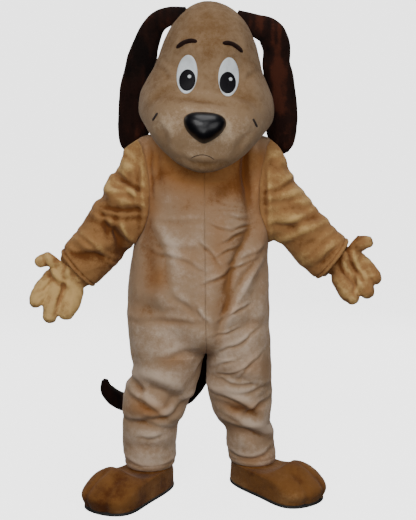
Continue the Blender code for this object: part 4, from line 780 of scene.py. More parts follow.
sleeveCreases = {
    "right": table(
        foldColumns,
        (-0.236, 1.300, -0.232, 1.080, -0.004, 0.010, 0.0090, 0.0050),
        (-0.325, 1.225, -0.219, 1.163, -0.008, 0.010, 0.0110, 0.0080),
        (-0.383, 1.104, -0.241, 1.093, -0.008, 0.011, 0.0100, 0.0070),
        (-0.369, 1.061, -0.350, 0.995, 0.006, 0.011, 0.0090, 0.0070),
        (-0.402, 1.088, -0.235, 1.061, -0.012, 0.010, 0.0090, 0.0070),
        (-0.393, 1.048, -0.288, 0.977, 0.012, 0.012, 0.0100, 0.0075),
        (-0.314, 1.074, -0.306, 0.977, -0.008, 0.012, 0.0080, 0.0070),
        (-0.456, 0.995, -0.360, 0.897, 0.010, 0.010, 0.0060, 0.0055),
        (-0.500, 0.945, -0.413, 0.937, -0.010, 0.009, 0.0050, 0.0045),
        (-0.417, 0.937, -0.325, 0.897, 0.006, 0.008, 0.0050, 0.0045),
        (-0.232, 1.305, -0.215, 1.265, 0.006, 0.010, 0.0060, 0.0050),
        (-0.326, 1.141, -0.236, 1.126, 0.008, 0.010, 0.0090, 0.0070),
        (-0.320, 1.176, -0.251, 1.106, 0.016, 0.010, 0.0080, 0.0070),
        (-0.300, 1.290, -0.240, 1.230, 0.010, 0.012, 0.0060, 0.0045),
    ),
    "left": table(
        foldColumns,
        (0.212, 1.285, 0.224, 1.050, 0.004, 0.010, 0.0080, 0.0045),
        (0.268, 1.030, 0.391, 1.057, -0.010, 0.012, 0.0060, 0.0050),
        (0.304, 0.960, 0.461, 1.030, 0.006, 0.012, 0.0050, 0.0040),
        (0.392, 0.924, 0.488, 1.004, 0.008, 0.010, 0.0060, 0.0050),
        (0.219, 1.240, 0.270, 1.275, 0.006, 0.010, 0.0080, 0.0060),
        (0.224, 1.156, 0.324, 1.191, -0.010, 0.010, 0.0080, 0.0060),
        (0.225, 1.116, 0.345, 1.136, -0.010, 0.012, 0.0070, 0.0055),
        (0.250, 1.080, 0.380, 1.100, 0.008, 0.011, 0.0055, 0.0045),
        (0.300, 1.010, 0.420, 1.075, 0.008, 0.012, 0.0050, 0.0040),
        (0.430, 0.900, 0.500, 0.960, 0.006, 0.009, 0.0050, 0.0040),
    ),
}
sleeveLook = {
    "rings": 128, "rows": 62, "length": 0.45, "hemAt": 0.945, "hemDepth": 0.0035, "hemWidth": 0.006,
    "tuckDepth": 0.0035, "tuckWidth": 0.004, "lumps": ((0.040, 0.0018), (0.016, 0.0007)),
    "nap": {"right": 0.52, "left": 0.58}, "lift": {"right": 0.14, "left": 0.02},  # lift: paler above the elbow
}


def armholeRing(side, rows):  # down the armhole's front edge and up its back edge
    heights, spreads = armholeTurns(rows, scale=0.9992)  # a hair inside the panels' edge
    front, frontOut = suitSurface(side, halfTurn / 2 - spreads, heights)[:2]
    back, backOut = suitSurface(side, halfTurn / 2 + spreads, heights)[:2]
    return np.concatenate((front, back[-2:0:-1])), np.concatenate((frontOut, backOut[-2:0:-1]))


def sleeveSurface(side, rings, rows):
    # ovals between a point on the upper edge and one on the lower edge, easing into the armhole's ring
    along = np.linspace(0, 1, rings)
    path = sleeves[side]
    row = {name: curveThrough(path["along"], path[name], along)[:, None] for name in path}
    angle = np.linspace(0, halfTurn, rows)
    angle = np.concatenate((angle, angle[-2:0:-1]))[None, :]
    towards = np.ones(2 * rows - 2)
    towards[:rows] = -1
    x = 0.5 * (row["topX"] + row["underX"]) + 0.5 * (row["topX"] - row["underX"]) * np.cos(angle)
    height = 0.5 * (row["topHeight"] + row["underHeight"])
    height = height + 0.5 * (row["topHeight"] - row["underHeight"]) * np.cos(angle)
    y = row["middleY"] + towards * row["halfDepth"] * np.sin(angle)
    plain = np.stack((x, y, height - neckHeight), axis=-1)
    opening, openingOut = armholeRing(side, rows)
    share = smooth(along / 0.30)[:, None, None]
    plain = plain + (1 - share) * (opening[None] - plain[:1])
    out = sides[side] * normalsOf(plain, wrap=True)
    near = np.clip(1 - along / 0.06, 0, 1)[:, None, None]
    upper = np.clip(0.2 + 0.9 * np.cos(np.linspace(0, fullTurn, 2 * rows - 2, endpoint=False)), 0, 1)
    near = near * upper[None, :, None]
    return plain, unit(out * (1 - near) + openingOut[None] * near), along[:, None]


def sleeveMoved(side, plain, out, along):  # folds and creases, strongest on the front
    front = frontShare(out)
    x, height = plain[..., 0], plain[..., 2] + neckHeight
    weight = (0.35 + 0.65 * front) * np.clip(along / 0.15, 0, 1) * np.clip((1 - along) / 0.08, 0, 1)
    folds = foldDepth(sleeveFolds[side], x, height) * weight
    creases = foldDepth(sleeveCreases[side], x, height) * (0.45 + 0.55 * front)
    creases = creases * np.clip(along / 0.06, 0, 1) * np.clip((1 - along) / 0.10, 0, 1)
    return folds, creases


def sleeve(side):
    # the surface moved out by folds, creases and lumps, and drawn in at the armhole's seam and the hem
    look, rows = sleeveLook, sleeveLook["rows"]
    plain, out, along = sleeveSurface(side, look["rings"], rows)
    folds, creases = sleeveMoved(side, plain, out, along)
    wavy = lumpy(plain, 11, *look["lumps"]) * np.clip(along / 0.08, 0, 1)
    seam = suit["seamDepth"] * bell(along * look["length"], suit["seamWidth"])
    hem = look["hemDepth"] * bell((along - look["hemAt"]) * look["length"], look["hemWidth"])
    tuck = look["tuckDepth"] * bell((1 - along) * look["length"], look["tuckWidth"])
    moved = folds + creases + wavy - hem - tuck
    drawnIn = armholeRing(side, rows)[1][None] * (0.8 * seam)[..., None]
    outer = plain + out * moved[..., None] - drawnIn
    # painted light: folds and creases are drawn paler where they stand out and darker where they go in, and
    # the armhole seam and the hem are darker as painted shade
    nap = look["nap"][side] + folds * 18 + creases * 34 - seam * 30 - hem * 60
    nap = nap + 0.14 * lumps(plain, 0.07, 13)
    nap = nap + look["lift"][side] * np.clip((plain[..., 2] + neckHeight - 1.13) / 0.06, -1, 1)
    mesh = wall("plush_sleeve_" + side, outer, outer - out * cloth["plush"], nap, wrap=True)
    piece = dress(mesh, finishes["goldenPlush"], "golden_plush", "sleeve_" + side)
    area = areaOf(outer, wrap=True)
    return area


for side in sides:
    print("sleeve", side, "area", round(sleeve(side), 3))


# The head

head = {
    "tilt": math.radians(3.5),  # the crown leans towards +X
    "pivot": np.array((0.000, 0.01, 1.42 - neckHeight)),
    "rows": 112,
    "columns": {"face": 117, "nape": 77},
    "faceMiddle": 0.008,
    "lumps": ((0.060, 0.0016), (0.020, 0.0005)),
}
headRows = table(
    "middleX frontY frontHeight sideX sideY sideHeight backY backHeight",
    (0.000, -0.0790, 1.420, 0.1075, 0.000, 1.420, 0.0995, 1.420),
    (0.002, -0.124, 1.360, 0.152, 0.004, 1.411, 0.142, 1.398),
    (0.006, -0.185, 1.262, 0.202, 0.000, 1.405, 0.178, 1.394),
    (0.008, -0.234, 1.226, 0.232, -0.010, 1.412, 0.198, 1.420),
    (0.008, -0.268, 1.248, 0.246, -0.014, 1.430, 0.209, 1.462),
    (0.008, -0.290, 1.294, 0.250, -0.012, 1.466, 0.215, 1.506),
    (0.008, -0.299, 1.350, 0.242, -0.008, 1.511, 0.218, 1.550),
    (0.008, -0.288, 1.408, 0.223, -0.003, 1.556, 0.216, 1.592),
    (0.008, -0.256, 1.456, 0.201, 0.000, 1.600, 0.210, 1.630),
    (0.008, -0.222, 1.503, 0.186, 0.000, 1.645, 0.199, 1.665),
    (0.008, -0.206, 1.560, 0.173, 0.000, 1.690, 0.184, 1.702),
    (0.008, -0.197, 1.625, 0.154, 0.000, 1.735, 0.163, 1.740),
    (0.007, -0.180, 1.690, 0.131, 0.000, 1.774, 0.137, 1.775),
    (0.005, -0.150, 1.750, 0.104, 0.000, 1.805, 0.107, 1.802),
    (0.003, -0.108, 1.800, 0.071, 0.000, 1.829, 0.074, 1.827),
    (0.001, -0.060, 1.834, 0.036, -0.002, 1.844, 0.038, 1.842),
    (0.000, -0.010, 1.850, 0.000, -0.010, 1.850, -0.010, 1.850),
)
headKnots = np.linspace(0, 1, len(headRows["sideX"]))
headForms = table(  # soft bulges and hollows: where, how far they reach and how far they push the surface
    "x y height wide deep high pushY pushHeight",
    (0.135, -0.205, 1.385, 0.085, 0.090, 0.080, -0.018, -0.004),
    (0.000, -0.270, 1.300, 0.045, 0.070, 0.045, 0.004, 0.003),
    (0.085, -0.205, 1.490, 0.110, 0.080, 0.022, 0.013, 0.000),
    (0.075, -0.200, 1.570, 0.055, 0.070, 0.060, 0.004, 0.000),
    (0.070, -0.180, 1.655, 0.060, 0.080, 0.030, -0.006, 0.000),
)
headFolds = table(  # soft lines in the padding, seen from the front before the tilt
    foldColumns,
    (-0.085, 1.470, 0.060, 1.462, 0.006, 0.012, 0.0075, 0.0050),
    (-0.190, 1.440, -0.120, 1.500, 0.010, 0.013, 0.0055, 0.0030),
    (0.135, 1.490, 0.200, 1.440, 0.010, 0.013, 0.0050, 0.0030),
    (-0.150, 1.375, -0.120, 1.300, 0.010, 0.014, 0.0045, 0.0030),
    (0.165, 1.365, 0.120, 1.290, -0.010, 0.014, 0.0045, 0.0030),
    (-0.060, 1.268, 0.070, 1.262, -0.012, 0.010, 0.0050, 0.0030),
    (-0.100, 1.640, -0.060, 1.700, 0.006, 0.012, 0.0025, 0.0020),
    (0.090, 1.700, 0.120, 1.640, 0.006, 0.012, 0.0025, 0.0020),
    (-0.170, 1.585, -0.130, 1.545, 0.006, 0.010, 0.0030, 0.0022),
    (0.140, 1.550, 0.180, 1.590, 0.006, 0.010, 0.0030, 0.0022),
)
# patches where the head's pile is drawn darker (-) or paler (+): painted shade in the crease under the eyes,
# the cheek hollows, between the eyes and under the muzzle, painted highlight on the cheeks and the muzzle, and
# some of the pile's own tone
headToneAndPaintedLight = table(
    patchColumns,
    (0.008, 1.700, 0.130, 0.090, -0.06),
    (-0.150, 1.480, 0.060, 0.035, -0.14),
    (0.160, 1.480, 0.050, 0.035, -0.12),
    (0.000, 1.464, 0.070, 0.012, -0.24),
    (0.008, 1.370, 0.160, 0.090, 0.52),
    (-0.170, 1.385, 0.045, 0.050, 0.16),
    (0.180, 1.385, 0.045, 0.050, 0.14),
    (-0.070, 1.330, 0.045, 0.040, -0.12),
    (0.090, 1.240, 0.090, 0.030, -0.18),
    (0.008, 1.610, 0.030, 0.060, -0.08),
    (-0.020, 1.285, 0.060, 0.020, 0.12),
)


def headForm(turns, parts):
    # each row passes a front, a side and a back point: turn 0 is the front, part 0 the neck, 1 the crown
    turns, parts = np.broadcast_arrays(np.asarray(turns, float), np.asarray(parts, float))
    row = {name: curveThrough(headKnots, headRows[name], parts) for name in headRows}
    level = np.cos(turns)
    endY = np.where(level > 0, row["frontY"], row["backY"])
    endHeight = np.where(level > 0, row["frontHeight"], row["backHeight"])
    x = row["sideX"] * np.sin(turns)
    y = row["sideY"] + (endY - row["sideY"]) * np.abs(level)
    height = row["sideHeight"] + (endHeight - row["sideHeight"]) * level**2
    for atX, atY, atHeight, wide, deep, high, pushY, pushHeight in zip(*headForms.values()):
        away = ((np.abs(x) - atX) / wide) ** 2 + ((y - atY) / deep) ** 2
        share = np.exp(-(away + ((height - atHeight) / high) ** 2))
        y = y + share * pushY
        height = height + share * pushHeight
    return np.stack((row["middleX"] + x, y, height - neckHeight), axis=-1)


def headOut(turns, parts):  # outward directions on the head before it tilts
    turns, parts = np.broadcast_arrays(turns, np.clip(parts, 0.004, 0.996))
    roundIt = headForm(turns + 0.02, parts) - headForm(turns - 0.02, parts)
    return unit(np.cross(roundIt, headForm(turns, parts + 0.004) - headForm(turns, parts - 0.004)))


def tilted(points):  # turned about the neck opening
    away = points - head["pivot"]
    cos, sin = math.cos(head["tilt"]), math.sin(head["tilt"])
    x, z = away[..., 0] * cos + away[..., 2] * sin, away[..., 2] * cos - away[..., 0] * sin
    return np.stack((x, away[..., 1], z), axis=-1) + head["pivot"]


def headSurface(turns, parts):  # the form with its soft folds, only where it faces the front
    plain, out = headForm(turns, parts), headOut(turns, parts)
    front = np.clip(-out[..., 1] * 1.4, 0, 1)
    x, height = plain[..., 0], plain[..., 2] + neckHeight
    folds = foldDepth(headFolds, x, height) * front
    calm = np.clip((1 - parts) / 0.12, 0, 1) * np.clip(parts / 0.10, 0, 1)
    wavy = lumpy(plain, 21, *head["lumps"]) * calm
    # painted light: the head's folds are drawn darker where they go in and paler where they stand out, with
    # painted shade and highlight patches on the front
    tone = 0.33 + toneAt(headToneAndPaintedLight, x, height) * front + folds * 26 + 0.07 * lumps(plain, 0.10, 23)
    return plain + out * (folds + wavy)[..., None], out, tone


def headHalf(part, low, high, shiftY):
    # the surface between two turns, its inner side a shell's thickness in, closed at neck and crown
    turns = np.linspace(low, high, head["columns"][part])[None, :]
    parts = np.linspace(0, 1, head["rows"])[:, None]
    outer, out, nap = headSurface(turns, parts)
    groove = seamGroove(outer) * np.clip((1 - parts) / 0.05, 0, 1)
    outer = outer - out * groove[..., None]
    inner = outer - out * cloth["shell"]
    lip = 0.001 * np.stack((np.sin(turns[0]), -np.cos(turns[0]), 0 * turns[0]), axis=-1)
    lip[:, 2] = cloth["shell"]
    inner[0] = outer[0] + lip
    outer[-1] = outer[-1].mean(axis=0)
    inner[-1] = outer[-1] - np.array((0, 0, cloth["shell"]))
    shift = np.array((0, shiftY, 0))
    name = {"face": "head_face", "nape": "head_back"}[part]
    # painted shade: the seam groove is drawn darker
    mesh = wall("plush_" + name, tilted(outer + shift), tilted(inner + shift), nap - groove * 60)
    piece = dress(welded(mesh), finishes["headPlush"], "tan_plush", name)


headHalf("face", -halfTurn / 2, halfTurn / 2, -cloth["halfSeam"])
headHalf("nape", halfTurn / 2, 1.5 * halfTurn, cloth["halfSeam"])
print("head made")


# What is sewn on the face

face = {
    "eye": {"x": 0.072, "height": 1.558, "halfWidth": 0.036, "halfHeight": 0.068, "thick": 0.004},
    "pupil": {"inward": 0.003, "drop": 0.021, "halfWidth": 0.0285, "halfHeight": 0.038, "thick": 0.0035},
    "glint": {"outward": 0.008, "rise": 0.012, "radius": 0.0062, "thick": 0.0012},
    "brow": {"x": 0.080, "height": 1.662, "halfLength": 0.036, "arch": 0.012, "halfWidth": 0.0080},
    "nose": {"height": 1.374, "halfWidth": 0.084, "halfHeight": 0.053, "thick": 0.040},
    "mouth": {"height": 1.270, "halfLength": 0.040, "arch": 0.014, "halfWidth": 0.0013},
    "tick": {"x": 0.172, "height": 1.405, "halfLength": 0.009, "lean": -1.5, "halfWidth": 0.0040},
}


def onFace(x, height):
    # the point of the head straight behind a front-view position, found by Newton's steps on turn and part
    part = np.interp(height, headRows["frontHeight"][4:], headKnots[4:])  # from the muzzle's lowest row up
    reach = curveThrough(headKnots, headRows["sideX"], part)
    turn = np.arcsin(np.clip((x - head["faceMiddle"]) / reach, -0.95, 0.95))
    for step in range(14):
        here = headSurface(turn, part)[0]
        byTurn = (headSurface(turn + 0.004, part)[0] - here) / 0.004
        byPart = (headSurface(turn, part + 0.001)[0] - here) / 0.001
        missX, missZ = x - here[..., 0], height - neckHeight - here[..., 2]
        spread = byTurn[..., 0] * byPart[..., 2] - byPart[..., 0] * byTurn[..., 2]
        spread = np.where(np.abs(spread) < 1e-4, 1e-4, spread)
        turnStep = (missX * byPart[..., 2] - missZ * byPart[..., 0]) / spread
        partStep = (missZ * byTurn[..., 0] - missX * byTurn[..., 2]) / spread
        turn = turn + np.clip(turnStep, -0.15, 0.15)
        part = np.clip(part + np.clip(partStep, -0.03, 0.03), 0.1, 0.985)
    here, out, tone = headSurface(turn, part)
    return here, unit(out.reshape(-1, 3).mean(axis=0))


def facePatch(name, centre, outline, low, high, dome, finish, slotName, nodes=(), rings=24, columns=72):
    # rings of a closed outline laid on the face, raised by a thickness that rounds off at the edge
    angle = np.linspace(0, fullTurn, columns, endpoint=False)[None, :]
    part = np.linspace(0.002, 1, rings)[:, None] ** 0.8
    across, up = outline(angle)
    base, mean = onFace(centre[0] + part * across, centre[1] + part * up)
    rise = high + dome * np.sqrt(np.clip(1 - part**2.2, 0, 1))
    edge = np.sqrt(np.clip(1 - part**14, 0, 1))
    top = base + mean * (low + (rise - low) * (0.35 + 0.65 * edge))[..., None]
    mesh = wall(name, tilted(top), tilted(base + mean * (low - 0.004)), 0.5, wrap=True)
    dress(welded(mesh), finish, slotName, *nodes)


def ellipse(halfWidth, halfHeight):  # an outline: cosine across, sine up
    return lambda angle: (halfWidth * np.cos(angle), halfHeight * np.sin(angle))


def noseOutline(angle):  # a rounded triangle, wide above and narrow below
    level = np.cos(angle)
    pointed = 0.8 + 0.5 * np.clip(-np.sin(angle), 0, 1) * np.clip(np.abs(level) * 4, 0, 1)
    reach = face["nose"]["halfWidth"] * np.sign(level) * np.abs(level) ** pointed
    return reach * (0.80 + 0.30 * np.sin(angle)), face["nose"]["halfHeight"] * np.sin(angle)


def eye(side):  # a white oval, a domed pupil on it and a small round glint on the pupil
    sign, white, dark, spot = sides[side], face["eye"], face["pupil"], face["glint"]
    centre = (head["faceMiddle"] + sign * white["x"], white["height"])
    outline = ellipse(white["halfWidth"], white["halfHeight"])
    facePatch(
        "felt_eye_" + side, centre, outline, 0.0, white["thick"], 0.0,
        finishes["felt"], "white_felt", ["eye_white_" + side],
    )
    level = white["thick"]
    centre = (centre[0] - sign * dark["inward"], centre[1] - dark["drop"])
    outline = ellipse(dark["halfWidth"], dark["halfHeight"])
    facePatch(
        "gloss_pupil_" + side, centre, outline, level, level + 0.5 * dark["thick"], 0.5 * dark["thick"],
        finishes["pupil"], "gloss_black", ["pupil_" + side],
    )
    level += dark["thick"]
    centre = (centre[0] + spot["outward"], centre[1] + spot["rise"])
    outline = ellipse(spot["radius"], spot["radius"])
    facePatch(
        "felt_glint_" + side, centre, outline, level - 0.0006, level + spot["thick"] * 0.5, 0.0,
        finishes["felt"], "white_felt", rings=10, columns=32,
    )


def strip(name, x, height, halfWidth, finish, nodes=(), rise=0.004, sink=0.003):
    # a raised strip along a line on the face: a half-round section that narrows to its ends
    part = np.linspace(-1, 1, len(x))
    dx, dHeight = np.gradient(x), np.gradient(height)
    length = np.hypot(dx, dHeight)
    taper = halfWidth * np.clip(1 - np.abs(part) ** 6, 0.03, 1) ** 0.5
    across = np.linspace(-1, 1, 11)[:, None]
    sideX = x - dHeight / length * taper * across
    sideHeight = height + dx / length * taper * across
    base, mean = onFace(sideX, sideHeight)
    lift = rise * np.sqrt(np.clip(1 - across**2, 0, 1)) * (taper / halfWidth) + 0.0004
    mesh = wall(name, tilted(base + mean * lift[..., None]), tilted(base - mean * sink), 0.5)
    dress(mesh, finish, "dark_plush", *nodes)


def brow(side):  # a bowed strip that falls away outward
    look, part = face["brow"], np.linspace(-1, 1, 41)
    x = head["faceMiddle"] + sides[side] * (look["x"] + look["halfLength"] * part)
    height = look["height"] + look["arch"] * (1 - part**2) - 0.010 * part
    nodes = ["brow_" + side]
    strip("plush_brow_" + side, x, height, look["halfWidth"], finishes["darkPlush"], nodes, rise=0.006)


def mouth():  # one bowed line of thread
    look, part = face["mouth"], np.linspace(-1, 1, 61)
    x = head["faceMiddle"] + look["halfLength"] * part
    height = look["height"] + look["arch"] * (1 - part**2)
    strip("thread_mouth", x, height, look["halfWidth"], finishes["thread"], rise=0.0008, sink=0.001)


def tick(side):  # a short slanting mark beside the nose
    look, part = face["tick"], np.linspace(-1, 1, 17)
    x = head["faceMiddle"] + sides[side] * (look["x"] + look["halfLength"] * part)
    height = look["height"] + look["lean"] * look["halfLength"] * part
    strip("thread_tick_" + side, x, height, look["halfWidth"], finishes["thread"], rise=0.0015, sink=0.001)


for side in sides:
    eye(side)
    brow(side)
    tick(side)
mouth()
noseLook = face["nose"]
facePatch(
    "gloss_nose", (head["faceMiddle"], noseLook["height"]), noseOutline, -0.004, 0.006, noseLook["thick"],
    finishes["gloss"], "gloss_black", ["nose"], rings=56, columns=128,
)
print("face made")


# Ears and tail

earColumns = "x height y halfWidth halfThick"
pathColumns = "x y height radius"
ears = {
    "right": table(
        earColumns,
        (-0.062, 1.797, -0.045, 0.024, 0.015),
        (-0.126, 1.791, -0.030, 0.035, 0.019),
        (-0.172, 1.769, -0.008, 0.040, 0.021),
        (-0.204, 1.717, 0.012, 0.047, 0.022),
        (-0.228, 1.645, 0.024, 0.057, 0.022),
        (-0.249, 1.545, 0.040, 0.063, 0.022),
        (-0.261, 1.450, 0.055, 0.064, 0.022),
        (-0.267, 1.375, 0.066, 0.059, 0.021),
        (-0.272, 1.325, 0.072, 0.044, 0.018),
        (-0.276, 1.300, 0.075, 0.020, 0.010),
    ),
    "left": table(
        earColumns,
        (0.120, 1.794, -0.025, 0.022, 0.015),
        (0.190, 1.762, -0.014, 0.042, 0.019),
        (0.242, 1.738, 0.000, 0.052, 0.021),
        (0.268, 1.688, 0.014, 0.054, 0.022),
        (0.270, 1.630, 0.026, 0.052, 0.022),
        (0.284, 1.560, 0.040, 0.058, 0.022),
        (0.293, 1.466, 0.055, 0.063, 0.022),
        (0.296, 1.385, 0.066, 0.059, 0.021),
        (0.302, 1.332, 0.072, 0.041, 0.018),
        (0.306, 1.304, 0.075, 0.018, 0.010),
    ),
}
tail = table(
    pathColumns,
    (0.008, 0.140, 0.618, 0.043),
    (0.008, 0.190, 0.606, 0.044),
    (0.006, 0.232, 0.566, 0.046),
    (0.000, 0.256, 0.470, 0.046),
    (-0.022, 0.262, 0.385, 0.045),
    (-0.070, 0.266, 0.318, 0.044),
    (-0.150, 0.266, 0.276, 0.043),
    (-0.250, 0.264, 0.264, 0.043),
    (-0.345, 0.258, 0.281, 0.039),
    (-0.400, 0.254, 0.327, 0.030),
    (-0.413, 0.252, 0.371, 0.014),
)
stuffedPaintedHighlights = {  # painted highlights: red-brown patches where the dark plush catches the light, placed as seen from the front
    "right": table(
        patchColumns,
        (-0.160, 1.800, 0.080, 0.035, 0.40),
        (-0.250, 1.560, 0.030, 0.090, 0.16),
    ),
    "left": table(
        patchColumns,
        (0.190, 1.780, 0.090, 0.050, 0.46),
        (0.275, 1.640, 0.030, 0.140, 0.46),
        (0.280, 1.450, 0.028, 0.110, 0.38),
    ),
    "tail": table(patchColumns, (-0.300, 0.300, 0.100, 0.030, 0.14)),
}
stuffed = {
    "earRings": 120, "earColumns": 56, "tailRings": 130, "tailColumns": 48,
    "seamDepth": 0.0028, "seamWidth": 0.16, "lumps": ((0.070, 0.0035), (0.028, 0.0014)),
}


def tubeRings(path, columns, count):
    # ovals square to a smooth line through the table's points
    knots = np.linspace(0, 1, len(path["x"]))
    steps = np.linspace(0, 1, count)
    row = {name: curveThrough(knots, path[name], steps) for name in path}
    middle = np.stack((row["x"], row["y"], row["height"] - neckHeight), axis=-1)
    ahead = unit(np.gradient(middle, axis=0))
    front = np.array((0, -1, 0)) - ahead * (ahead @ np.array((0, -1, 0)))[:, None]
    front = unit(front)
    across = np.cross(ahead, front)
    angle = np.linspace(0, fullTurn, columns, endpoint=False)
    wide, thick = (row.get(name, row.get("radius")) for name in ("halfWidth", "halfThick"))
    rings = middle[:, None] + across[:, None] * (wide[:, None] * np.cos(angle))[..., None]
    return rings + front[:, None] * (thick[:, None] * np.sin(angle))[..., None], middle, ahead, angle


def stuffedTube(name, path, tones, rings, columns, node, seed, cap):
    # a sewn tube: its two seams run along the wide edges, and the stuffing makes it lumpy
    tube, middle, ahead, angle = tubeRings(path, columns, rings)
    out = normalsOf(tube, wrap=True)
    out *= np.sign((out * (tube - middle[:, None])).sum(axis=-1).mean())
    stuffing = lumpy(tube, seed, *stuffed["lumps"])
    seam = stuffed["seamDepth"] * bell(np.sin(angle), stuffed["seamWidth"])
    calm = np.sin(np.linspace(0, halfTurn, rings))[:, None] ** 0.4
    tube = tube + out * ((stuffing - seam) * calm)[..., None]
    streaks = lumps(tube * np.array((1.0, 1.0, 0.15)), 0.014, seed + 2)
    # painted light: bulges of the stuffing are drawn paler, its dents and the seams darker, and the red-brown
    # patches are painted highlights
    nap = 0.34 + stuffing * 60 - seam * 60 + 0.22 * streaks + 0.16 * lumps(tube, 0.05, seed + 3)
    nap = nap + toneAt(tones, tube[..., 0], tube[..., 2] + neckHeight) * (1 + 0.5 * streaks)
    mesh = closedTube(name, tube, middle[0], middle[-1] + ahead[-1] * cap, nap)
    dress(mesh, finishes["darkPlush"], "dark_plush", node)


for side in sides:
    stuffedTube(
        "plush_ear_" + side, ears[side], stuffedPaintedHighlights[side], stuffed["earRings"], stuffed["earColumns"],
        "ear_" + side, 31 + sides[side], 0.006,
    )
stuffedTube(
    "plush_tail", tail, stuffedPaintedHighlights["tail"], stuffed["tailRings"], stuffed["tailColumns"], "tail", 41, 0.008,
)
print("ears and tail made")


# Gloves

gloves = {
    "right": {
        "palm": table(
            pathColumns,
            (-0.456, -0.054, 0.874, 0.052),
            (-0.492, -0.058, 0.866, 0.052),
            (-0.522, -0.062, 0.850, 0.049),
            (-0.534, -0.066, 0.832, 0.045),
        ),
        "heel": table(
            pathColumns,
            (-0.447, -0.054, 0.858, 0.054),
            (-0.476, -0.060, 0.836, 0.048),
            (-0.486, -0.066, 0.818, 0.042),
        ),
        "thumb": table(
            pathColumns,
            (-0.500, -0.056, 0.892, 0.040),
            (-0.540, -0.070, 0.903, 0.033),
            (-0.574, -0.084, 0.908, 0.028),
            (-0.596, -0.088, 0.902, 0.023),
        ),
        "first": table(
            pathColumns,
            (-0.548, -0.064, 0.852, 0.032),
            (-0.582, -0.084, 0.812, 0.034),
            (-0.605, -0.110, 0.774, 0.031),
            (-0.609, -0.122, 0.760, 0.026),
        ),
        "second": table(
            pathColumns,
            (-0.528, -0.064, 0.838, 0.033),
            (-0.543, -0.088, 0.788, 0.037),
            (-0.553, -0.114, 0.736, 0.034),
            (-0.559, -0.128, 0.706, 0.027),
        ),
        "third": table(
            pathColumns,
            (-0.487, -0.062, 0.830, 0.034),
            (-0.476, -0.082, 0.784, 0.035),
            (-0.491, -0.106, 0.738, 0.034),
            (-0.501, -0.118, 0.715, 0.027),
        ),
    },
    "left": {
        "palm": table(
            pathColumns,
            (0.484, -0.054, 0.914, 0.052),
            (0.516, -0.058, 0.916, 0.052),
            (0.542, -0.062, 0.908, 0.049),
            (0.556, -0.066, 0.894, 0.045),
        ),
        "heel": table(
            pathColumns,
            (0.478, -0.054, 0.902, 0.052),
            (0.500, -0.060, 0.882, 0.047),
            (0.508, -0.066, 0.866, 0.040),
        ),
        "thumb": table(
            pathColumns,
            (0.521, -0.056, 0.948, 0.040),
            (0.557, -0.070, 0.960, 0.033),
            (0.584, -0.084, 0.971, 0.028),
            (0.600, -0.088, 0.973, 0.023),
        ),
        "first": table(
            pathColumns,
            (0.564, -0.064, 0.910, 0.032),
            (0.594, -0.082, 0.884, 0.032),
            (0.616, -0.106, 0.854, 0.030),
            (0.622, -0.116, 0.844, 0.026),
        ),
        "second": table(
            pathColumns,
            (0.554, -0.064, 0.898, 0.033),
            (0.575, -0.088, 0.852, 0.036),
            (0.589, -0.114, 0.812, 0.034),
            (0.595, -0.126, 0.796, 0.028),
        ),
        "third": table(
            pathColumns,
            (0.508, -0.062, 0.882, 0.034),
            (0.509, -0.084, 0.838, 0.037),
            (0.531, -0.108, 0.790, 0.035),
            (0.542, -0.120, 0.775, 0.028),
        ),
    },
}
gloveLook = {
    "columns": 20, "voxel": 0.0034, "smoothing": 8, "thick": 0.0045,
    "lumps": ((0.020, 0.0022), (0.009, 0.0010)),
    "wristAhead": 0.016, "wristShade": 0.55, "wristFade": 0.035, "nap": {"right": 0.92, "left": 0.62},
}
cuffLook = {"steps": 26, "columns": 84, "gathers": 26, "gatherDepth": 0.0014, "narrow": 0.90, "wrist": 0.74}
gloveCreases = {
    "right": table(
        foldColumns,
        (-0.575, 0.905, -0.509, 0.815, -0.020, 0.009, 0.0080, 0.0080),
        (-0.511, 0.856, -0.530, 0.745, 0.008, 0.008, 0.0075, 0.0045),
        (-0.560, 0.830, -0.590, 0.800, 0.006, 0.008, 0.0050, 0.0040),
        (-0.580, 0.800, -0.600, 0.768, 0.004, 0.006, 0.0035, 0.0025),
        (-0.470, 0.880, -0.440, 0.830, 0.006, 0.009, 0.0040, 0.0030),
        (-0.500, 0.935, -0.540, 0.905, 0.006, 0.008, 0.0035, 0.0030),
    ),
    "left": table(
        foldColumns,
        (0.498, 0.902, 0.536, 0.842, -0.006, 0.008, 0.0080, 0.0055),
        (0.532, 0.938, 0.568, 0.856, -0.008, 0.008, 0.0080, 0.0055),
        (0.552, 0.850, 0.545, 0.800, 0.004, 0.006, 0.0040, 0.0030),
        (0.480, 0.935, 0.515, 0.905, 0.006, 0.008, 0.0035, 0.0030),
    ),
}


def cuffFrame(side):  # middle of the sleeve's last ring, the way it points, and all its rings
    plain, out, along = sleeveSurface(side, 15, 11)
    folds, creases = sleeveMoved(side, plain, out, along)
    rings = plain + out * folds[..., None]
    middle = rings[-1].mean(axis=0)
    ahead = middle - rings[-3].mean(axis=0)
    return middle, ahead / np.linalg.norm(ahead), rings


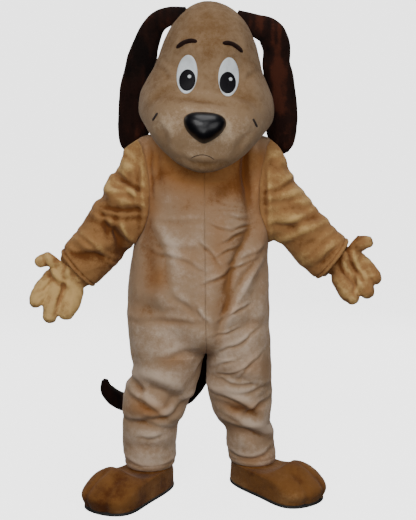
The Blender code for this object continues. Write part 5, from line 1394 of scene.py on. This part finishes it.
def handTubes(side):
    # palm, fingers and thumb as tubes with rounded ends that run into each other
    points, faces, count, columns = [], [], 0, gloveLook["columns"]
    for path in gloves[side].values():
        rings, middle, ahead, angle = tubeRings(path, columns, 2 * len(path["x"]) - 1)
        firstCap, lastCap = path["radius"][0], path["radius"][-1]
        firstRing, lastRing = rings[0] - rings[0].mean(axis=0), rings[-1] - rings[-1].mean(axis=0)
        for share in (0.9, 0.7, 0.4, 0.0):  # smaller and smaller rings round off both ends
            near = middle[0] - ahead[0] * firstCap * math.sqrt(1 - share**2) + firstRing * share
            far = middle[-1] + ahead[-1] * lastCap * math.sqrt(1 - share**2) + lastRing * share
            rings = np.concatenate((near[None], rings, far[None]))
        grid = np.arange(rings.shape[0] * columns).reshape(-1, columns)
        grid = np.concatenate((grid, grid[:, :1]), axis=1) + count
        points.append(rings.reshape(-1, 3))
        faces.append(cells(grid))
        count += rings.shape[0] * columns
    return welded(meshFrom("hand_" + side, np.concatenate(points), np.concatenate(faces)))


def readPoints(mesh, label):  # a vector of every vertex as one array
    values = np.empty(len(mesh.vertices) * 3)
    mesh.vertices.foreach_get(label, values)
    return values.reshape(-1, 3)


def glove(side):
    # the tubes run into one skin, cut off at the wrist, then moved out by lumps and creases of the palm
    middle, ahead, rings = cuffFrame(side)
    source = addObject("hand_" + side, handTubes(side))
    skin = source.modifiers.new("skin", "REMESH")
    skin.mode = "VOXEL"
    skin.voxel_size = gloveLook["voxel"]
    soften = source.modifiers.new("soften", "SMOOTH")
    soften.factor = 0.5
    soften.iterations = gloveLook["smoothing"]
    graph = bpy.context.evaluated_depsgraph_get()
    mesh = bpy.data.meshes.new_from_object(source.evaluated_get(graph))
    bpy.data.objects.remove(source, do_unlink=True)
    work = bmesh.new()
    work.from_mesh(mesh)
    wristAt = middle + ahead * gloveLook["wristAhead"]
    bmesh.ops.bisect_plane(
        work, geom=work.verts[:] + work.edges[:] + work.faces[:],
        plane_co=Vector(wristAt.tolist()), plane_no=Vector(ahead.tolist()), clear_inner=True,
    )
    bmesh.ops.recalc_face_normals(work, faces=work.faces)
    work.to_mesh(mesh)
    work.free()
    points, out = readPoints(mesh, "co"), readPoints(mesh, "normal")
    creases = foldDepth(gloveCreases[side], points[:, 0], points[:, 2] + neckHeight)
    moved = lumpy(points, 51, *gloveLook["lumps"]) + creases * np.clip(0.3 - out[:, 1], 0, 1)
    points = points + out * moved[:, None]
    mesh.vertices.foreach_set("co", points.ravel())
    beyond = (points - middle) @ ahead
    wrist = gloveLook["wristShade"] * bell(beyond, gloveLook["wristFade"])
    # painted light: lumps and creases are drawn paler where they stand out and darker where they go in, and
    # painted shade lies at the wrist under the sleeve
    nap = gloveLook["nap"][side] + 0.20 * lumps(points, 0.030, 53) + moved * 60 - wrist
    mesh.attributes.new("nap", "FLOAT", "POINT").data.foreach_set("value", nap.astype(np.float32))
    mesh.name = "plush_glove_" + side
    mesh.update()
    mesh.shade_smooth()
    piece = dress(mesh, finishes["goldenPlush"], "golden_plush", "glove_" + side)
    thick = piece.modifiers.new("cloth", "SOLIDIFY")
    thick.thickness = gloveLook["thick"]
    thick.offset = -1
    cuff(side)


def cuff(side):
    # a gathered band whose first points are the sleeve's inner ones, drawn in towards the wrist
    middle, ahead, rings = cuffFrame(side)
    out = sides[side] * normalsOf(rings, wrap=True)
    inside = (rings - out * (cloth["plush"] + 0.0012))[-3:-1]
    flat = (inside[-1] - middle) * np.array((1.0, 0.92, 1.0))
    flat = flat - (flat @ ahead)[:, None] * ahead
    wrist = middle + flat * cuffLook["wrist"] + ahead * gloveLook["wristAhead"]
    knots = np.stack((inside[0], inside[1], middle + flat * cuffLook["narrow"], wrist))
    knots = np.concatenate((knots, knots[:, :1]), axis=1)
    steps, finer = np.linspace(0, 1, cuffLook["steps"]), np.linspace(0, 1, cuffLook["columns"] + 1)[:-1]
    down, across = (np.linspace(0, 1, count) for count in knots.shape[:2])
    rows = [[curveThrough(down, line, steps) for line in column.T] for column in knots.transpose(1, 0, 2)]
    rows = np.stack(rows).transpose(2, 0, 1)
    outer = [[curveThrough(across, line, finer) for line in ring.T] for ring in rows]
    outer = np.stack(outer).transpose(0, 2, 1)
    direction = sides[side] * normalsOf(outer, wrap=True)
    angle = np.linspace(0, fullTurn, cuffLook["columns"])
    gathers = cuffLook["gatherDepth"] * np.sin(cuffLook["gathers"] * angle)
    gathers = gathers * smooth((steps - 0.35) / 0.3)[:, None]
    outer = outer + direction * gathers[..., None]
    inner = outer - direction * cloth["plush"]
    # painted shade and highlight: the gathers' crests are drawn paler and their troughs darker
    mesh = wall("plush_cuff_" + side, outer, inner, 0.30 + gathers * 90, wrap=True)
    piece = dress(mesh, finishes["goldenPlush"], "golden_plush", "glove_cuff_" + side)


for side in sides:
    glove(side)
    print("glove", side)


# Shoe covers

shoes = {
    "right": {"x": -0.209, "y": 0.024, "toeOut": math.radians(32)},
    "left": {"x": 0.200, "y": 0.075, "toeOut": math.radians(40)},
}
shoeForm = {
    "middle": 0.100, "halfLength": 0.206, "waist": 0.089, "toeSpread": 0.100, "heelSpread": 0.034,
    "bend": 0.018, "top": 0.090, "collar": 0.122, "ankleInset": 0.0092, "toeRise": 0.056, "sole": 0.010,
    "rows": 64, "columns": 120,
    "lumps": ((0.050, 0.0022), (0.020, 0.0008)), "nap": {"right": 0.40, "left": 0.54},
    "toeGroove": {"apart": 0.034, "width": 0.010, "depth": 0.0075, "from": 0.200},
}


def shoeOutline(angle, grow=0.0):  # the sole's paddle shape, measured from the ankle's middle
    lead = np.cos(angle)
    half = shoeForm["waist"] + np.where(lead > 0, shoeForm["toeSpread"], shoeForm["heelSpread"]) * lead**2
    across = (half + grow) * np.sin(angle) + shoeForm["bend"] * np.clip(lead, 0, 1) ** 2
    return shoeForm["middle"] + (shoeForm["halfLength"] + grow) * lead, across


def shoePlace(side, along, across, height):  # the toe points forward and outward
    shoe, sign = shoes[side], sides[side]
    cos, sin = math.cos(shoe["toeOut"]), math.sin(shoe["toeOut"])
    x = shoe["x"] + sign * (along * sin + across * cos)
    y = shoe["y"] - along * cos + across * sin
    return np.stack(np.broadcast_arrays(x, y, height - neckHeight), axis=-1)


def ankleOutline(side, angle, height, inset):
    # the leg's oval seen in the shoe's directions, drawn in
    leg = {name: curveThrough(legs[side]["height"], legs[side][name], height) for name in legs[side]}
    shoe, sign = shoes[side], sides[side]
    halfX = 0.5 * np.abs(leg["outerX"] - leg["innerX"]) - inset
    halfY = leg["halfDepth"] - inset
    awayX = sign * (0.5 * (leg["outerX"] + leg["innerX"]) - shoe["x"])
    awayY = leg["middleY"] - shoe["y"]
    cos, sin = math.cos(shoe["toeOut"]), math.sin(shoe["toeOut"])
    turned = angle + shoe["toeOut"]
    reach = halfX * halfY / np.hypot(halfY * np.sin(turned), halfX * np.cos(turned))
    return reach * np.cos(angle) + awayX * sin - awayY * cos, reach * np.sin(angle) + awayX * cos + awayY * sin


def shoeSurface(side, columns, rows, inset=0.0):
    # a dome from the sole's edge to the ankle with two toe grooves, then a straight collar
    angle = np.linspace(0, fullTurn, columns, endpoint=False)[None, :]
    rise = np.linspace(0, halfTurn / 2, rows)[:, None]
    soleAlong, soleAcross = shoeOutline(angle, -inset)
    ankleAlong, ankleAcross = ankleOutline(side, angle, suit["hem"], shoeForm["ankleInset"] + inset)
    forward = np.clip(0.4 + np.cos(angle), 0, 1)
    bulge = np.sin(2 * rise) * (rise < 0.8) + np.sin(1.6) * (rise >= 0.8) * smooth((1.2 - rise) / 0.4)
    spread = np.cos(rise) ** 0.75 * (1 + 0.17 * forward * bulge)
    lift = np.sin(rise) ** 0.75
    along = ankleAlong + (soleAlong - ankleAlong) * spread
    across = ankleAcross + (soleAcross - ankleAcross) * spread
    low = shoeForm["sole"] + 0.0004
    height = low + (shoeForm["top"] - inset - low) * lift
    bent = shoeForm["bend"] * np.clip((along - shoeForm["middle"]) / shoeForm["halfLength"], 0, 1) ** 2
    toe = np.exp(-(((along - 0.212) / 0.090) ** 2) - ((across - 0.030) / 0.100) ** 2)
    height = height + shoeForm["toeRise"] * toe * lift * np.clip((spread - 0.10) / 0.35, 0, 1)
    cut = shoeForm["toeGroove"]
    grooves = sum(bell(across - bent - way * cut["apart"] * along / 0.25, cut["width"]) for way in (-1, 1))
    grooves = grooves * np.clip((along - cut["from"]) / 0.04, 0, 1)
    height = height - cut["depth"] * grooves * lift
    along = along - 0.008 * grooves * (1 - lift)
    collarHeight = np.linspace(shoeForm["top"], shoeForm["collar"], 10)[1:, None]
    collarAlong, collarAcross = ankleOutline(side, angle, collarHeight, shoeForm["ankleInset"] + inset)
    instep = bell(along - 0.135 + 0.12 * across**2 / 0.01, 0.004) * (lift > 0.2)  # the bowed seam
    marks = np.concatenate((grooves + 0.45 * instep, 0 * collarHeight + 0 * angle))
    along, across = np.concatenate((along, collarAlong)), np.concatenate((across, collarAcross))
    return shoePlace(side, along, across, np.concatenate((height, collarHeight + 0 * angle))), marks


def shoe(side):
    # the dome and collar moved out by lumps, but not at the sole, the grooves or under the hem
    outer, marks = shoeSurface(side, shoeForm["columns"], shoeForm["rows"])
    inner = shoeSurface(side, shoeForm["columns"], shoeForm["rows"], cloth["plush"])[0]
    out = normalsOf(outer, wrap=True)
    out *= np.sign((out[20] * (outer[20] - outer[20].mean(axis=0))).sum())
    wavy = lumpy(outer, 61, *shoeForm["lumps"])
    level = outer[..., 2] + neckHeight
    calm = np.clip((level - shoeForm["sole"]) / 0.02, 0, 1)
    calm = calm * np.clip((0.088 - level) / 0.02 + (marks > 2), 0, 1)
    dome = (np.arange(len(outer)) < shoeForm["rows"] - 6)[:, None]
    calm = np.maximum(calm, np.clip((level - 0.10) / 0.01, 0, 1) * dome)
    outer = outer + out * ((wavy - 0.0012 * np.clip(marks, 0, 0.45) / 0.45) * calm)[..., None]
    # painted light: the toe grooves and the instep seam are drawn darker as painted shade, and lumps are paler
    # where they stand out and darker where they go in
    nap = shoeForm["nap"][side] + 0.26 * lumps(outer, 0.060, 63) - 0.12 * np.clip(marks, 0, 1) + wavy * 40
    mesh = wall("plush_shoe_" + side, outer, inner, nap, wrap=True)
    piece = dress(mesh, finishes["brownPlush"], "brown_plush", "shoe_" + side)
    area, onto = areaOf(outer, wrap=True), ["rubber_sole_" + side]
    sole(side)
    return area


def sole(side):  # a plate with rounded edges, tread grooves below
    angle = np.linspace(0, fullTurn, shoeForm["columns"], endpoint=False)[None, :]
    bend = np.linspace(-halfTurn / 2, halfTurn / 2, 9)[:, None]
    along, across = shoeOutline(angle, 0.002 - 0.002 * (1 - np.cos(bend)) ** 2)
    height = 0.5 * shoeForm["sole"] * (1 + np.sin(bend))
    ring = shoePlace(side, along, across, height + 0 * angle)
    low, high = ring[0].mean(axis=0), ring[-1].mean(axis=0)
    share = np.linspace(0.05, 0.95, 14)[:, None, None]
    bottom = low + (ring[0] - low) * share
    top = high + (ring[-1] - high) * share[::-1]
    tread = 0.0012 * (np.sin((bottom[..., 1] + 0.3 * bottom[..., 0]) * fullTurn / 0.016) > 0.4)
    bottom = bottom + np.stack((0 * tread, 0 * tread, tread * (share[..., 0] < 0.93)), axis=-1)
    rings = np.concatenate((bottom, ring, top))
    mesh = closedTube("rubber_sole_" + side, rings, low, high, 0.5)
    dress(mesh, finishes["rubber"], "black_rubber", "sole_" + side)


for side in sides:
    print("shoe", side, "area", round(shoe(side), 3))


# The zip down the back

zipLook = {
    "top": 1.392, "bottom": 0.800, "halfWidth": 0.0075, "thick": 0.0016, "gap": 0.0007,
    "pitch": 0.0034, "tooth": (0.0030, 0.0017, 0.0014),
}


def zipLine(heights):  # down the middle of the back, with the outward directions there
    points, out = suitSurface("left", np.full(len(heights), halfTurn), heights)[:2]
    out[:, 0] = 0
    return points, unit(out)


def zipTape():  # a flat band on the line, its edges thinned off
    heights = np.linspace(zipLook["top"], zipLook["bottom"], 220)
    line, out = zipLine(heights)
    across = np.linspace(-1, 1, 13) * zipLook["halfWidth"]
    side = np.stack((across, 0 * across, 0 * across), axis=-1)[None]
    low = line[:, None] + out[:, None] * zipLook["gap"] + side
    rise = zipLook["thick"] * (0.55 + 0.45 * np.clip(1 - np.abs(across / zipLook["halfWidth"]) ** 6, 0, 1))
    mesh = wall("tape_zip", low + out[:, None] * rise[None, :, None], low, 0.5)
    dress(mesh, finishes["tape"], "brown_tape", "zip_tape")


def zipTeeth():
    # small blocks in two rows, each set half a pitch from its neighbour across the line
    count = int((zipLook["top"] - zipLook["bottom"] - 0.02) / zipLook["pitch"])
    steps = np.arange(2 * count)
    heights = zipLook["top"] - 0.014 - steps * zipLook["pitch"] / 2
    line, out = zipLine(heights)
    down = unit(np.gradient(line, axis=0))
    corners = np.array([(x, y, z) for x in (-1, 1) for y in (-1, 1) for z in (0, 1)], float)
    wide, long, thick = zipLook["tooth"]
    shift = np.where(steps % 2 == 0, -0.0006, 0.0006)[:, None, None]
    taper = 1 - 0.25 * corners[:, 2]
    x = corners[:, 0] * wide * 0.5 * taper
    places = line[:, None] + np.stack((x, 0 * x, 0 * x), axis=-1)[None] + shift * np.array((1.0, 0, 0))
    places = places + down[:, None] * (corners[:, 1] * long * 0.5 * 0.8 * taper)[None, :, None]
    rise = zipLook["gap"] + zipLook["thick"] - 0.0002 + corners[:, 2] * thick
    places = places + out[:, None] * rise[None, :, None]
    quads = np.array([(0, 1, 3, 2), (4, 6, 7, 5), (0, 4, 5, 1), (2, 3, 7, 6), (0, 2, 6, 4), (1, 5, 7, 3)])
    quads = (quads[None] + 8 * steps[:, None, None]).reshape(-1, 4)
    mesh = meshFrom("metal_zip_teeth", places.reshape(-1, 3), quads)
    mesh.shade_flat()
    dress(mesh, finishes["metal"], "zip_metal")


zipTape()
zipTeeth()
for name in ("zip_slider", "zip_pull"):
    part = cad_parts[name]
    part.data.materials.clear()
    part.data.materials.append(finishes["metal"])
print("zip made")


# Floor, light and camera

studio = {"floor": 40.0, "paper": 0.50, "glow": 2.9, "sky": 2.9, "aim": (0, 0, -0.4)}
view = {"lens": 55.25, "from": (0.017, -3.0, -0.20), "down": math.radians(5.74)}
lamps = table(
    "x y z power size",
    (-1.1, -3.4, 1.7, 92, 2.2),
    (2.2, -3.0, 0.2, 42, 2.4),
    (0.3, -0.8, 3.4, 60, 2.2),
    (-0.4, -3.2, -1.0, 34, 2.0),
    (-2.6, 2.8, 1.2, 62, 2.2),
    (2.4, 3.0, 0.8, 66, 2.2),
)


def floorAndLight():  # a glowing pale floor and sky that light nothing themselves, and soft lamps
    half, low = studio["floor"], -neckHeight
    points = np.array([(-half, -half, low), (half, -half, low), (half, half, low), (-half, half, low)])
    ground = addObject("floor", meshFrom("floor", points, np.array([[0, 1, 2, 3]])))
    paper = newFinish(
        "palePaper", Base_Color=(studio["paper"],) * 3 + (1,), Roughness=0.9, Specular_IOR_Level=0.1,
        Emission_Color=(1, 1, 1, 1), Emission_Strength=studio["glow"],
    )[0]
    ground.data.materials.append(paper)
    ground.visible_diffuse = False
    ground.visible_glossy = False
    world = bpy.data.worlds.new("studio")
    world.use_nodes = True
    sky = world.node_tree.nodes["Background"]
    sky.inputs["Color"].default_value = (1, 1, 1, 1)
    sky.inputs["Strength"].default_value = studio["sky"]
    world.cycles_visibility.diffuse = False
    world.cycles_visibility.glossy = False
    bpy.context.scene.world = world
    for x, y, z, power, size in zip(*lamps.values()):
        light = bpy.data.lights.new("softbox", "AREA")
        light.energy, light.size = power, size
        lamp = addObject("softbox", light)
        lamp.location = (x, y, z)
        towards = Vector(studio["aim"]) - Vector((x, y, z))
        lamp.rotation_euler = towards.to_track_quat("-Z", "Y").to_euler()


def placeCamera():
    glass = bpy.data.cameras.new("camera")
    glass.lens, glass.sensor_width, glass.clip_end = view["lens"], 36, 200
    camera = addObject("camera", glass)
    camera.location = view["from"]
    camera.rotation_euler = (halfTurn / 2 - view["down"], 0, 0)
    bpy.context.scene.camera = camera


floorAndLight()
placeCamera()
print("floor, lights and camera placed")
